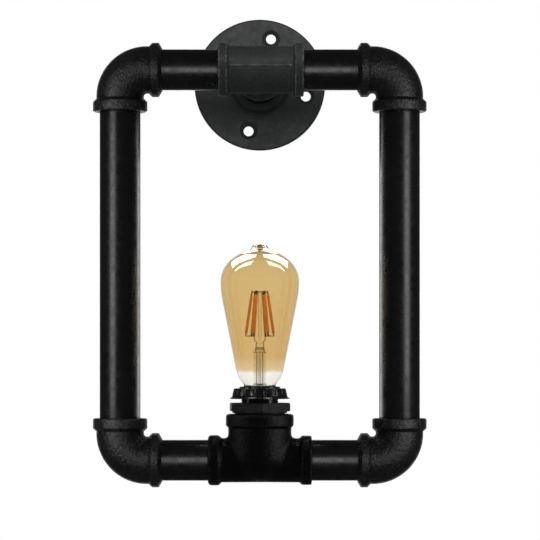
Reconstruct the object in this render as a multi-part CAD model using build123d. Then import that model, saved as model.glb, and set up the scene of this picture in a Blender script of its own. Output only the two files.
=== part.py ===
from build123d import *

import os
from math import atan2, cos, degrees, pi, radians, sin, sqrt

# Industrial pipe wall light: a hanging rectangle of black pipe and cast fittings on one round wall flange,
# with an E27 lamp holder in the bottom tee and a teardrop LED filament lamp standing inside the frame.
#
# Millimetres. The origin is the centre of the flange's back face, on the wall. +X is to the right, as seen
# from the room, +Y points into the wall and +Z is up. The pipe frame hangs in a plane parallel to the wall.

# ---- Pipe frame ---------------------------------------------------------------------------------------
pipe_od = 33.4  # nominal 1 inch pipe
pipe_wall = 2.6
frame_width = 229.0  # between the axes of the two uprights
frame_height = 320.0  # between the axes of the top and bottom pipes
frame_standoff = 110.0  # from the wall to the plane of the pipe axes
thread_engagement = 13.0  # length of pipe screwed into each fitting
socket_depth = 16.0  # threaded depth of each fitting's mouth

# ---- Wall flange --------------------------------------------------------------------------------------
flange_od = 113.0
flange_thickness = 6.0
flange_rim_round = 1.6
boss_height = 16.0
boss_base_od = 49.6
boss_nose_od = 46.6
boss_root_round = 3.0
boss_nose_round = 1.0
screw_circle_d = 82.0
screw_count = 4
screw_hole_d = 8.6
countersink_d = 15.0
first_screw_angle = 76.3  # from +X towards +Z: the flange stopped turning here as it tightened
nipple_setback = 2.0  # nipple end, behind the wall plane
swivel_clearance = 0.05  # radial, nipple in the wall tee's branch

# ---- Elbows -------------------------------------------------------------------------------------------
elbow_reach = 34.5  # centre to face
elbow_body_od = 38.0
elbow_bend_radius = 22.0
collar_od = 43.6
collar_width = 8.0
collar_round = 1.1
nose_length = 3.1  # bevel in front of the collar on each elbow's level arm
nose_depth = 4.2
fitting_wall = 4.0
seam_width = 2.2  # raised parting line left by the casting mould
seam_height = 0.45

# ---- Wall tee -----------------------------------------------------------------------------------------
wall_tee_run_reach = 36.0
wall_tee_branch_reach = 36.0
wall_tee_body_od = 38.8
wall_tee_branch_od = 37.6

# ---- Lamp tee -----------------------------------------------------------------------------------------
lamp_tee_run_reach = 42.5
lamp_tee_run_od = 37.0
lamp_tee_run_collar_od = 41.6
lamp_tee_branch_reach = 38.0
lamp_tee_branch_od = 51.8
lamp_tee_branch_collar_od = 55.6
lamp_tee_branch_collar_width = 9.4
lamp_tee_branch_round = 2.4
lamp_tee_left_round = 3.0  # the left mouth came softer out of the mould than the right one
lamp_tee_bowl_top = 4.0  # height over the run axis where the bowl starts to close
lamp_tee_bowl_lift = 0.5  # the bowl's underside, over the run's
lamp_tee_blend = 6.0
lamp_tee_branch_bore_d = 40.0

# ---- Hexagon bush -------------------------------------------------------------------------------------
bush_hex_across_flats = 48.0
bush_hex_height = 6.6
bush_hex_chamfer = 0.8
bush_turn = 3.7  # the corner at the front stands this far round to the right
bush_shoulder_od = 45.0
bush_shoulder_height = 1.2
bush_thread_od = 42.0
bush_thread_show = 1.2  # thread left between the tee's face and the shoulder
bush_thread_depth = 14.0

# ---- Lamp holder --------------------------------------------------------------------------------------
neck_od = 30.6  # crest of the holder's outside thread
neck_wall = 1.1
neck_show = 3.4  # thread left between the bush and the shade ring
holder_top_below_ring = 0.8
shell_wall = 0.5
shell_depth = 23.5
shell_lip_d = 15.0
shell_lip_thickness = 0.6
holder_lip_d = 24.0
holder_lip_height = 3.0
holder_base_height = 7.0
live_screw_x = -5.0  # under the tongue's foot
neutral_screw_x = 9.3  # under the shell's lip
terminal_head_d = 5.2
terminal_head_height = 1.8
terminal_shank_d = 3.0
tongue_width = 5.0
tongue_thickness = 0.5
tongue_length = 10.0
tongue_foot_length = 3.0
tongue_spring = 0.8  # free height under the tongue
contact_gap = 0.3  # between the lamp's tip and the sprung tongue

# ---- Shade ring ---------------------------------------------------------------------------------------
ring_clearance = 0.3  # radial, on the holder's neck
ring_height = 9.9
ring_collar_od = 33.6
ring_step = 1.3  # the fluted band stops this much below the inner collar
ring_band_top_od = 42.4
ring_band_bottom_od = 44.8
ring_flare_od = 49.4
ring_flare_height = 2.8
ring_edge_thickness = 0.5
ring_web_thickness = 2.0
ring_band_wall = 2.2
ring_flute_count = 16
ring_flute_r = 1.7
ring_flute_depth = 0.9

# ---- Lamp ---------------------------------------------------------------------------------------------
cap_above_ring = 1.0  # the lamp cap's rim, over the ring
cap_height = 26.5
cap_thread_od = 26.2
cap_rim_od = 26.6
cap_rim_height = 3.0
cap_wall = 0.4
insulator_height = 3.7
insulator_end_d = 12.0
tip_d = 9.0
tip_height = 1.8
glass_wall = 0.9
glass_height = 113.6  # cap rim to the crown of the dome
glass_neck_d = 25.2
glass_neck_depth = 2.4  # tucked into the cap's rim
glass_foot_d = 39.2
glass_foot_height = 13.0
glass_shoulder_d = 61.6
glass_shoulder_height = 70.0
glass_max_d = 64.6
glass_max_height = 84.8
dome_side_share = 0.87  # radius of a dome's side over its rise
pip_d = 9.0
pip_base_d = 17.0
pip_height = 2.8

# ---- Lamp mount: stem, leads and filaments -------------------------------------------------------------
stem_flare_height = 3.0
stem_tube_d = 10.6
stem_tube_wall = 0.8
stem_shoulder_height = 29.0  # over the cap's rim
stem_pinch_d = 7.4
stem_pinch_bottom = 31.5
stem_pinch_top = 34.5
stem_rod_d = 3.0
stem_button_d = 4.4
stem_button_height = 1.6
exhaust_tube_d = 2.8
exhaust_tube_wall = 0.6
exhaust_tube_bottom = 1.5
filament_count = 6
filament_d = 2.0
filament_tail_d = 0.8
filament_tail_length = 2.2  # bare metal at each end
filament_first_angle = 6.0  # the whole mount, turned about the lamp's axis
filament_bottom_radius = 11.6
filament_top_radius = 6.4
filament_bottom_height = 40.6
filament_top_height = 76.6
crown_wire_d = 0.8
link_wire_d = 0.7
lead_wire_d = 0.7
lead_spacing = 5.0  # between the two leads in the stem
lead_kink = 4.6  # how far out each lead stands over the stem

# ---- Driver inside the lamp cap ------------------------------------------------------------------------
board_width = 15.0
board_height = 13.0
board_thickness = 1.2
capacitor_d = 6.3
capacitor_length = 9.0
capacitor_lift = 1.5  # over the insulator

# ---- Wiring inside the pipes ---------------------------------------------------------------------------
flex_d = 6.2
flex_bend_radius = 34.0
flex_end_from_centre = 26.0  # where the sheath is stripped in the lamp tee
core_d = 2.4
core_spacing = 3.0
core_bend_radius = 2.4
core_free_length = 9.0  # from the terminal block to the sheath
block_from_wall = 6.0
block_length = 14.0
block_width = 16.0
block_height = 11.0
pole_spacing = 8.0
barrel_od = 5.0
barrel_bore = 1.8
block_screw_d = 3.0
block_screw_height = 2.4

# ---- Worked out from the sizes above -------------------------------------------------------------------
pipe_r = pipe_od / 2
pipe_bore_r = pipe_r - pipe_wall
upright_x = frame_width / 2
frame_y = -frame_standoff
ring_bottom = lamp_tee_branch_reach + bush_thread_show + bush_shoulder_height + bush_hex_height + neck_show
ring_top = ring_bottom + ring_height
hex_top = ring_bottom - neck_show
hex_bottom = hex_top - bush_hex_height
bush_shoulder_bottom = hex_bottom - bush_shoulder_height
bush_bottom = bush_shoulder_bottom - bush_thread_show - bush_thread_depth
holder_top = ring_top - holder_top_below_ring
rim_top = ring_top + cap_above_ring  # also where the glass starts
tip_bottom = rim_top - cap_height
neck_r = neck_od / 2
neck_bore_r = neck_r - neck_wall
shell_top = holder_top - 2 * shell_wall
shell_bottom = shell_top - shell_depth
base_top = shell_bottom
base_bottom = base_top - holder_base_height
holder_bottom = base_bottom - holder_lip_height
tongue_top = tip_bottom - contact_gap
well_floor = tongue_top - tongue_thickness - tongue_spring
ring_bore_r = neck_r + ring_clearance
cap_inner_r = cap_thread_od / 2 - cap_wall
insulator_bottom = tip_bottom + tip_height
skirt_bottom = insulator_bottom + insulator_height
block_back = -block_from_wall
block_front = block_back - block_length
flex_start = block_front - core_free_length
lamp_axis = Pos(0, frame_y, -frame_height)  # the lamp's own frame: z 0 on the bottom pipe's axis
mount = Rot(0, 0, filament_first_angle)
ON_TOP = (Align.CENTER, Align.CENTER, Align.MIN)


# ---- Helpers -------------------------------------------------------------------------------------------
def is_circle(edge, radius):
    """True for a circular edge of that radius."""
    return edge.geom_type == GeomType.CIRCLE and abs(edge.radius - radius) < 0.01


def disc(radius, low, high):
    """A plain cylinder about Z between two heights."""
    return Pos(0, 0, low) * Cylinder(radius, high - low, align=ON_TOP)


def pipe(outer_r, inner_r, low, high):
    """A hollow cylinder about Z between two heights."""
    return disc(outer_r, low, high) - disc(inner_r, low - 1, high + 1)


def turned(*points):
    """A solid turned about Z from a closed outline of (radius, height) points."""
    outline = Polyline([(r, 0, z) for r, z in points], close=True)
    return revolve(make_face(outline), Axis.Z)


def rod(start, end, radius):
    """A round bar from one point to another."""
    run = Vector(*end) - Vector(*start)
    return Plane(origin=start, z_dir=run) * Cylinder(radius, run.length, align=ON_TOP)


def wire_along(points, radius, bend):
    """A round wire along straight runs joined by tangent arcs of one radius."""
    path = FilletPolyline(*points, radius=bend)
    profile = Plane(origin=path @ 0, z_dir=path % 0) * Circle(radius)
    return sweep(profile, path=path)


def ring_point(radius, angle, height):
    """A point on a circle about Z, its angle in degrees."""
    return (radius * cos(radians(angle)), radius * sin(radians(angle)), height)


def mouth(body_r, collar_r, start, reach, width, rounding, nose=(0, 0)):
    """One arm of a cast fitting along +Z: plain body, sloped shoulder and a thick collar at the face.

    nose is the length and depth of a bevel that runs from the collar down to the face.
    """
    slope_top = reach - width
    slope_bottom = slope_top - (collar_r - body_r)
    length, depth = nose
    outline = [
        (0, start),
        (body_r, start),
        (body_r, slope_bottom),
        (collar_r, slope_top),
        (collar_r, reach - length),
    ]
    if length:
        outline.append((collar_r - depth, reach))
    arm = turned(*outline, (0, reach))
    if not rounding:
        return arm
    return fillet([e for e in arm.edges() if is_circle(e, collar_r)], rounding)


def dome(radius, rise):
    """Edges of a flattened quarter circle from (radius, 0) to (0, rise): a tighter arc, then a flatter one."""
    side_r = dome_side_share * min(radius, rise)
    top_r = ((radius - side_r) ** 2 + rise**2 - side_r**2) / (2 * (rise - side_r))
    lean = atan2(top_r - rise, radius - side_r)
    side_arc = CenterArc((radius - side_r, 0), side_r, 0, degrees(lean))
    top_arc = CenterArc((0, rise - top_r), top_r, degrees(lean), 90 - degrees(lean))
    return [side_arc, top_arc]


def to_x(shape):
    """Turns +Z onto +X."""
    return Rot(0, 90, 0) * shape


def to_minus_x(shape):
    """Turns +Z onto -X."""
    return Rot(0, -90, 0) * shape


def to_y(shape):
    """Turns +Z onto +Y."""
    return Rot(-90, 0, 0) * shape


# ---- Wall flange and nipple ----------------------------------------------------------------------------
def make_wall_flange():
    """Round cast plate with a threaded boss and four countersunk screw holes."""
    rim_r = flange_od / 2
    plate = disc(rim_r, 0, flange_thickness)
    plate = fillet(plate.edges().filter_by(GeomType.CIRCLE).group_by(Axis.Z)[-1], flange_rim_round)
    boss = turned(
        (0, 0),
        (boss_base_od / 2, 0),
        (boss_base_od / 2, flange_thickness),
        (boss_nose_od / 2, flange_thickness + boss_height),
        (0, flange_thickness + boss_height),
    )
    body = plate + boss
    base = [e for e in body.edges() if is_circle(e, boss_base_od / 2)]
    body = fillet([e for e in base if abs(e.center().Z - flange_thickness) < 0.01], boss_root_round)
    nose = [e for e in body.edges() if is_circle(e, boss_nose_od / 2)]
    body = fillet(nose, boss_nose_round)
    body -= disc(pipe_r, -1, flange_thickness + boss_height + 1)
    sink_depth = (countersink_d - screw_hole_d) / 2
    hole = turned(
        (0, -1),
        (screw_hole_d / 2, -1),
        (screw_hole_d / 2, flange_thickness - sink_depth),
        (countersink_d / 2, flange_thickness),
        (countersink_d / 2, flange_thickness + 1),
        (0, flange_thickness + 1),
    )
    for n in range(screw_count):
        angle = first_screw_angle + n * 360 / screw_count
        body -= Pos(*ring_point(screw_circle_d / 2, angle, 0)) * hole
    return Rot(90, 0, 0) * body


def make_wall_nipple():
    """Short pipe from the flange's boss into the wall tee."""
    far_end = frame_standoff - wall_tee_branch_reach + thread_engagement
    return Rot(90, 0, 0) * pipe(pipe_r, pipe_bore_r, nipple_setback, far_end)


# ---- Pipes ---------------------------------------------------------------------------------------------
def make_level_pipe(side, height, tee_reach):
    """A level pipe between a tee and an elbow. side is -1 on the left and 1 on the right."""
    inner_end = tee_reach - thread_engagement
    outer_end = upright_x - elbow_reach + thread_engagement
    bar = pipe(pipe_r, pipe_bore_r, inner_end, outer_end)
    turned_bar = to_x(bar) if side > 0 else to_minus_x(bar)
    return Pos(0, frame_y, height) * turned_bar


def make_upright_pipe(side):
    """A long upright pipe between the two elbows of one side."""
    half = frame_height / 2 - elbow_reach + thread_engagement
    return Pos(side * upright_x, frame_y, -frame_height / 2) * pipe(pipe_r, pipe_bore_r, -half, half)


# ---- Elbows --------------------------------------------------------------------------------------------
def bend(radius):
    """A quarter turn of round bar from the +X arm to the +Z arm, in the XZ plane."""
    start = Plane(origin=(elbow_bend_radius, 0, 0), z_dir=(1, 0, 0)) * Circle(radius)
    centre = Axis((elbow_bend_radius, 0, elbow_bend_radius), (0, 1, 0))
    return revolve(start, centre, 90)


def elbow_outside(extra, rounding, level_on_x):
    """The elbow's outside, grown by extra. Its level arm, with the bevelled nose, lies on +X or on +Z."""
    body_r = elbow_body_od / 2 + extra
    collar_r = collar_od / 2 + extra
    sizes = (body_r, collar_r, elbow_bend_radius, elbow_reach, collar_width, rounding)
    upright_arm = mouth(*sizes)
    level_arm = mouth(*sizes, nose=(nose_length, nose_depth))
    on_x, on_z = (level_arm, upright_arm) if level_on_x else (upright_arm, level_arm)
    return bend(body_r) + on_z + to_x(on_x)


def make_elbow(side, top):
    """A cast elbow with its parting line, one arm level towards the middle and one upright."""
    slab = Box(4 * elbow_reach, seam_width, 4 * elbow_reach)
    level_on_x = (side > 0) == top
    outside = elbow_outside(0, collar_round, level_on_x)
    outside += elbow_outside(seam_height, 0, level_on_x) & slab
    passage_r = elbow_body_od / 2 - fitting_wall
    socket = disc(pipe_r, elbow_reach - socket_depth, elbow_reach + 1)
    throat = disc(passage_r, elbow_bend_radius - 1, elbow_reach)
    body = outside - bend(passage_r) - throat - to_x(throat) - socket - to_x(socket)
    turn = {(-1, False): 0, (-1, True): 90, (1, True): 180, (1, False): 270}[(side, top)]
    height = 0 if top else -frame_height
    return Pos(side * upright_x, frame_y, height) * Rot(0, turn, 0) * body


# ---- Wall tee ------------------------------------------------------------------------------------------
def wall_tee_outside(extra, rounding):
    """The tee's run along X and its branch along +Y, grown by extra."""
    run_arm = mouth(
        wall_tee_body_od / 2 + extra,
        collar_od / 2 + extra,
        0,
        wall_tee_run_reach,
        collar_width,
        rounding,
    )
    branch = mouth(
        wall_tee_branch_od / 2 + extra,
        collar_od / 2 + extra,
        0,
        wall_tee_branch_reach,
        collar_width,
        rounding,
    )
    return to_x(run_arm) + to_minus_x(run_arm) + to_y(branch)


def make_wall_tee():
    """Cast tee that joins the two top pipes and hangs the frame on the wall nipple."""
    slab = Box(4 * wall_tee_run_reach, 4 * wall_tee_branch_reach, seam_width)
    body = wall_tee_outside(0, collar_round) + (wall_tee_outside(seam_height, 0) & slab)
    run_socket = disc(pipe_r, wall_tee_run_reach - socket_depth, wall_tee_run_reach + 1)
    body -= to_x(disc(wall_tee_body_od / 2 - fitting_wall, -wall_tee_run_reach, wall_tee_run_reach))
    body -= to_x(run_socket)
    body -= to_minus_x(run_socket)
    body -= to_y(disc(wall_tee_branch_od / 2 - fitting_wall, 0, wall_tee_branch_reach))
    branch_socket_bottom = wall_tee_branch_reach - socket_depth
    body -= to_y(disc(pipe_r + swivel_clearance, branch_socket_bottom, wall_tee_branch_reach + 1))
    return Pos(0, frame_y, 0) * body


# ---- Lamp tee ------------------------------------------------------------------------------------------
def make_lamp_tee_bowl():
    """The wide branch: a barrel that closes to a bowl under the run, turned about Z."""
    radius = lamp_tee_branch_od / 2
    depth = lamp_tee_bowl_top + lamp_tee_run_od / 2 - lamp_tee_bowl_lift
    barrel_top = lamp_tee_bowl_top - (lamp_tee_branch_reach - lamp_tee_branch_collar_width)
    bowl = dome(radius, depth)
    edges = [
        Line(bowl[-1] @ 1, (0, barrel_top)),
        Line((0, barrel_top), (radius, barrel_top)),
        Line((radius, barrel_top), (radius, 0)),
    ]
    upside_down = revolve(make_face([Plane.XZ * edge for edge in bowl + edges]), Axis.Z)
    return Pos(0, 0, lamp_tee_bowl_top) * Rot(180, 0, 0) * upside_down


def make_lamp_tee():
    """Cast reducing tee: the run takes the bottom pipes, the wide branch takes the lamp holder's bush."""
    run_r = lamp_tee_run_od / 2
    plain = to_x(disc(run_r, -lamp_tee_run_reach, lamp_tee_run_reach)) + make_lamp_tee_bowl()
    crease = [e for e in plain.edges() if e.geom_type not in (GeomType.CIRCLE, GeomType.LINE)]
    body = fillet(crease, lamp_tee_blend)
    run_sizes = (run_r, lamp_tee_run_collar_od / 2, lamp_tee_run_reach - 2 * collar_width, lamp_tee_run_reach)
    right_mouth = mouth(*run_sizes, collar_width, collar_round)
    left_mouth = mouth(*run_sizes, collar_width, lamp_tee_left_round)
    branch_mouth = mouth(
        lamp_tee_branch_od / 2,
        lamp_tee_branch_collar_od / 2,
        lamp_tee_branch_reach - 2 * lamp_tee_branch_collar_width,
        lamp_tee_branch_reach,
        lamp_tee_branch_collar_width,
        lamp_tee_branch_round,
    )
    body += to_x(right_mouth)
    body += to_minus_x(left_mouth)
    body += branch_mouth
    run_socket = disc(pipe_r, lamp_tee_run_reach - socket_depth, lamp_tee_run_reach + 1)
    body -= to_x(disc(run_r - fitting_wall, -lamp_tee_run_reach, lamp_tee_run_reach))
    body -= to_x(run_socket)
    body -= to_minus_x(run_socket)
    body -= disc(lamp_tee_branch_bore_d / 2, 0, lamp_tee_branch_reach)
    body -= disc(bush_thread_od / 2, bush_bottom, lamp_tee_branch_reach + 1)
    return lamp_axis * body


# ---- Hexagon bush --------------------------------------------------------------------------------------
def make_hex_bush():
    """Reducing bush with one corner of its hexagon to the front."""
    corner_r = bush_hex_across_flats / sqrt(3)
    hexagon = Pos(0, 0, hex_bottom) * extrude(RegularPolygon(corner_r, 6, rotation=30), bush_hex_height)
    bevel = turned(
        (0, hex_bottom),
        (corner_r - bush_hex_chamfer, hex_bottom),
        (corner_r, hex_bottom + bush_hex_chamfer / 2),
        (corner_r, hex_top - bush_hex_chamfer / 2),
        (corner_r - bush_hex_chamfer, hex_top),
        (0, hex_top),
    )
    body = (hexagon & bevel) + disc(bush_shoulder_od / 2, bush_shoulder_bottom, hex_bottom)
    body += disc(bush_thread_od / 2, bush_bottom, bush_shoulder_bottom)
    body -= disc(neck_r, bush_bottom - 1, hex_top + 1)
    return lamp_axis * Rot(0, 0, bush_turn) * body


# ---- Lamp holder ---------------------------------------------------------------------------------------
def make_holder_skirt():
    """Moulded threaded skirt of the lamp holder, with an inside lip that carries the base."""
    body = disc(neck_r, holder_bottom, holder_top)
    body -= disc(neck_bore_r, base_bottom, holder_top + 1)
    body -= disc(holder_lip_d / 2, holder_bottom - 1, base_bottom + 1)
    return lamp_axis * body


def make_holder_base():
    """Moulded base with a well for the sprung tongue and holes for the two terminal screws."""
    body = disc(neck_bore_r, base_bottom, base_top)
    body -= disc(shell_lip_d / 2, well_floor, base_top + 1)
    for x in (live_screw_x, neutral_screw_x):
        body -= Pos(x, 0, 0) * disc(terminal_shank_d / 2, base_bottom - 1, base_top + 1)
    return lamp_axis * body


def make_screw_shell():
    """Thin metal shell that takes the lamp's thread and carries the neutral."""
    outer = neck_bore_r
    body = disc(outer, shell_bottom, shell_top)
    body -= disc(outer - shell_wall, shell_bottom + shell_lip_thickness, shell_top + 1)
    body -= disc(shell_lip_d / 2, shell_bottom - 1, shell_top)
    return lamp_axis * body


def make_terminal_screws():
    """The live screw under the tongue's foot and the neutral screw under the shell's lip, heads down."""
    screws = Part()
    for x, top in ((live_screw_x, well_floor), (neutral_screw_x, base_top)):
        head = disc(terminal_head_d / 2, base_bottom - terminal_head_height, base_bottom)
        shank = disc(terminal_shank_d / 2, base_bottom, top)
        screws += Pos(x, 0, 0) * (head + shank)
    return lamp_axis * screws


def make_centre_contact():
    """Sprung brass tongue under the lamp's tip, its foot on the well's floor."""
    foot_x = live_screw_x - tongue_foot_length / 2
    corner = (Align.MIN, Align.CENTER, Align.MIN)
    strip = Box(tongue_length, tongue_width, tongue_thickness, align=corner)
    foot = Box(tongue_foot_length, tongue_width, tongue_spring, align=corner)
    strip_bottom = tongue_top - tongue_thickness
    return lamp_axis * (Pos(foot_x, 0, strip_bottom) * strip + Pos(foot_x, 0, well_floor) * foot)


# ---- Shade ring ----------------------------------------------------------------------------------------
def make_shade_ring():
    """Moulded ring on the holder's neck: inner collar, fluted band and a thin flared edge."""
    band_top = ring_height - ring_step
    body = turned(
        (ring_bore_r, 0),
        (ring_flare_od / 2, 0),
        (ring_flare_od / 2, ring_edge_thickness),
        (ring_band_bottom_od / 2, ring_flare_height),
        (ring_band_top_od / 2, band_top),
        (ring_collar_od / 2, band_top),
        (ring_collar_od / 2, ring_height),
        (ring_bore_r, ring_height),
    )
    hollow_top = band_top - ring_web_thickness
    body -= pipe(ring_band_top_od / 2 - ring_band_wall, ring_collar_od / 2, -1, hollow_top)
    lean = degrees(atan2((ring_band_bottom_od - ring_band_top_od) / 2, band_top - ring_flare_height))
    axis_r = ring_band_bottom_od / 2 + ring_flute_r - ring_flute_depth
    flute = Pos(axis_r, 0, ring_flare_height) * Rot(0, -lean, 0) * disc(ring_flute_r, 0, ring_height)
    for n in range(ring_flute_count):
        body -= Rot(0, 0, (n + 0.5) * 360 / ring_flute_count) * flute
    return lamp_axis * Pos(0, 0, ring_bottom) * body


# ---- Lamp cap ------------------------------------------------------------------------------------------
def make_lamp_cap():
    """Thin pressed screw cap, open at the top, with a lip round the insulator at the bottom."""
    rim_r = cap_rim_od / 2
    thread_r = cap_thread_od / 2
    body = turned(
        (0, skirt_bottom),
        (thread_r, skirt_bottom),
        (thread_r, rim_top - cap_rim_height),
        (rim_r, rim_top - cap_rim_height + rim_r - thread_r),
        (rim_r, rim_top),
        (0, rim_top),
    )
    return lamp_axis * (body - disc(cap_inner_r, skirt_bottom - 1, rim_top + 1))


def make_lamp_insulator():
    """Black glass plug between the cap and the tip, a cone with a land inside the skirt."""
    land = cap_wall
    body = turned(
        (0, insulator_bottom),
        (insulator_end_d / 2, insulator_bottom),
        (cap_thread_od / 2, skirt_bottom),
        (cap_inner_r, skirt_bottom),
        (cap_inner_r, skirt_bottom + land),
        (0, skirt_bottom + land),
    )
    return lamp_axis * body


def make_lamp_tip():
    """Domed solder contact under the insulator."""
    body = disc(tip_d / 2, tip_bottom, insulator_bottom)
    return lamp_axis * fillet(body.edges().sort_by(Axis.Z)[0], 0.7 * (insulator_bottom - tip_bottom))


# ---- Lamp glass ----------------------------------------------------------------------------------------
def glass_outline(inset, neck_bottom):
    """Edges of the teardrop from the neck's bottom up to the crown, shrunk by inset."""
    neck_r = glass_neck_d / 2 - inset
    foot = Vector(glass_foot_d / 2 - inset, rim_top + glass_foot_height)
    shoulder = Vector(glass_shoulder_d / 2 - inset, rim_top + glass_shoulder_height)
    widest = Vector(glass_max_d / 2 - inset, rim_top + glass_max_height)
    crown = rim_top + glass_height - inset
    return [
        Line((neck_r, neck_bottom), (neck_r, rim_top)),
        TangentArc(foot, (neck_r, rim_top), tangent=foot - shoulder),
        Line(foot, shoulder),
        TangentArc(widest, shoulder, tangent=(0, -1)),
        *[Pos(0, widest.Y) * edge for edge in dome(widest.X, crown - widest.Y)],
    ]


def make_lamp_glass():
    """Blown glass envelope with its neck in the cap and the sealed-off pip on its crown."""
    neck_bottom = rim_top - glass_neck_depth
    crown_top = rim_top + glass_height
    outside = glass_outline(0, neck_bottom)
    inside = glass_outline(glass_wall, neck_bottom)
    ends = [Line(inside[0] @ 0, outside[0] @ 0), Line(inside[-1] @ 1, outside[-1] @ 1)]
    wall = make_face([Plane.XZ * edge for edge in outside + inside + ends])
    pip = turned(
        (0, crown_top - glass_wall / 2),
        (pip_base_d / 2, crown_top - glass_wall * 2),
        (pip_base_d / 2, crown_top - glass_wall),
        (pip_d / 2, crown_top + pip_height),
        (0, crown_top + pip_height),
    )
    return lamp_axis * (revolve(wall, Axis.Z) + pip)


# ---- Lamp mount ----------------------------------------------------------------------------------------
def make_glass_stem():
    """Flared glass tube sealed in the neck, pinched shut round the leads, with a rod and button on top."""
    seal_r = glass_neck_d / 2 - glass_wall
    neck_bottom = rim_top - glass_neck_depth
    tube_r = stem_tube_d / 2
    flare_top = neck_bottom + stem_flare_height
    button_low = rim_top + filament_top_height - stem_button_height / 2
    outer = turned(
        (0, neck_bottom),
        (seal_r, neck_bottom),
        (seal_r, neck_bottom + stem_tube_wall),
        (tube_r, flare_top),
        (tube_r, rim_top + stem_shoulder_height),
        (stem_pinch_d / 2, rim_top + stem_pinch_bottom),
        (stem_pinch_d / 2, rim_top + stem_pinch_top),
        (0, rim_top + stem_pinch_top),
    )
    inner_r = tube_r - stem_tube_wall
    inner = turned(
        (0, neck_bottom - 1),
        (seal_r - stem_tube_wall, neck_bottom - 1),
        (seal_r - stem_tube_wall, neck_bottom),
        (inner_r, flare_top - stem_tube_wall),
        (inner_r, rim_top + stem_shoulder_height - stem_tube_wall),
        (0, rim_top + stem_shoulder_height - stem_tube_wall),
    )
    body = outer - inner
    exhaust_top = rim_top + stem_shoulder_height
    exhaust_low = rim_top + exhaust_tube_bottom
    body += pipe(exhaust_tube_d / 2, exhaust_tube_d / 2 - exhaust_tube_wall, exhaust_low, exhaust_top)
    body += disc(stem_rod_d / 2, rim_top + stem_pinch_top, button_low)
    body += disc(stem_button_d / 2, button_low, button_low + stem_button_height)
    lead_hole = disc(lead_wire_d / 2, neck_bottom, rim_top + stem_pinch_top + 1)
    for side in (-1, 1):
        body -= mount * Pos(side * lead_spacing / 2, 0, 0) * lead_hole
    return lamp_axis * body


def filament_ends(index):
    """Where one filament's two bare ends lie, in the lamp's own frame."""
    angle = index * 360 / filament_count
    low = ring_point(filament_bottom_radius, angle, rim_top + filament_bottom_height)
    high = ring_point(filament_top_radius, angle, rim_top + filament_top_height)
    return Vector(*low), Vector(*high)


def make_filament(index):
    """One straight light-emitting stick with a thin bare tail at each end."""
    low, high = filament_ends(index)
    along = (high - low).normalized()
    low += along * link_wire_d / 2
    high -= along * crown_wire_d / 2
    stick_low = low + along * filament_tail_length
    stick_high = high - along * filament_tail_length
    body = rod(low, high, filament_tail_d / 2) + rod(stick_low, stick_high, filament_d / 2)
    return lamp_axis * mount * body


def make_filament_crown():
    """Top wire that joins the filaments in a ring, with three spokes sealed in the rod's button."""
    height = rim_top + filament_top_height
    body = Pos(0, 0, height) * Torus(filament_top_radius, crown_wire_d / 2)
    spokes = filament_count // 2
    for n in range(spokes):
        angle = (n + 0.25) * 360 / spokes
        inner = ring_point(stem_button_d / 2, angle, height)
        outer = ring_point(filament_top_radius, angle, height)
        body += rod(inner, outer, crown_wire_d / 2)
    return lamp_axis * mount * body


def make_filament_link(side):
    """Bottom wire that joins the three filaments of one side: an arc about the lamp's axis."""
    half_count = filament_count // 2
    span = (half_count - 1) * 360 / filament_count
    section = Plane(origin=(filament_bottom_radius, 0, 0), z_dir=(0, 1, 0)) * Circle(link_wire_d / 2)
    arc = revolve(section, Axis.Z, span)
    first_angle = (0 if side > 0 else 180) - span / 2
    return lamp_axis * mount * Pos(0, 0, rim_top + filament_bottom_height) * Rot(0, 0, first_angle) * arc


def make_lead(side):
    """Lead from the driver board up the stem, through the pinch and out in a kink to the bottom link."""
    x = side * lead_spacing / 2
    kink_x = side * lead_kink
    foot = skirt_bottom + cap_wall + board_height
    link_x = side * (filament_bottom_radius - link_wire_d / 2)
    link_height = rim_top + filament_bottom_height
    pinch = rim_top + stem_pinch_top
    points = [
        (x, 0, foot),
        (x, 0, pinch + 1),
        (kink_x, 0, (pinch + link_height) / 2),
        (kink_x * 0.8, 0, link_height - 1),
        (link_x, 0, link_height),
    ]
    return lamp_axis * mount * wire_along(points, lead_wire_d / 2, lead_wire_d)


# ---- Driver --------------------------------------------------------------------------------------------
def make_driver_board():
    """Circuit board standing on the insulator inside the cap."""
    low = skirt_bottom + cap_wall
    return lamp_axis * mount * Pos(0, 0, low) * Box(board_width, board_thickness, board_height, align=ON_TOP)


def make_driver_capacitor():
    """Can-shaped capacitor on the face of the board."""
    low = skirt_bottom + cap_wall + capacitor_lift
    y = board_thickness / 2 + capacitor_d / 2
    body = disc(capacitor_d / 2, low, low + capacitor_length)
    return lamp_axis * mount * Pos(0, y, 0) * body


# ---- Wiring inside the pipes ---------------------------------------------------------------------------
def flex_route():
    """The sheathed flex: from the wall nipple, left through the top pipe and down to the lamp tee."""
    return FilletPolyline(
        (0, flex_start, 0),
        (0, frame_y, 0),
        (-upright_x, frame_y, 0),
        (-upright_x, frame_y, -frame_height),
        (-flex_end_from_centre, frame_y, -frame_height),
        radius=flex_bend_radius,
    )


def make_inner_flex():
    """Sheath of the two-core flex that runs inside the left side of the frame."""
    path = flex_route()
    body = sweep(Plane(origin=path @ 0, z_dir=path % 0) * Circle(flex_d / 2), path=path)
    straight_volume = pi * (flex_d / 2) ** 2 * path.length
    print("flex: length", round(path.length, 1), "mm, bend radius", flex_bend_radius, "mm")
    print("flex: volume over section times length", round(body.volume / straight_volume, 6))
    return body


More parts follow.
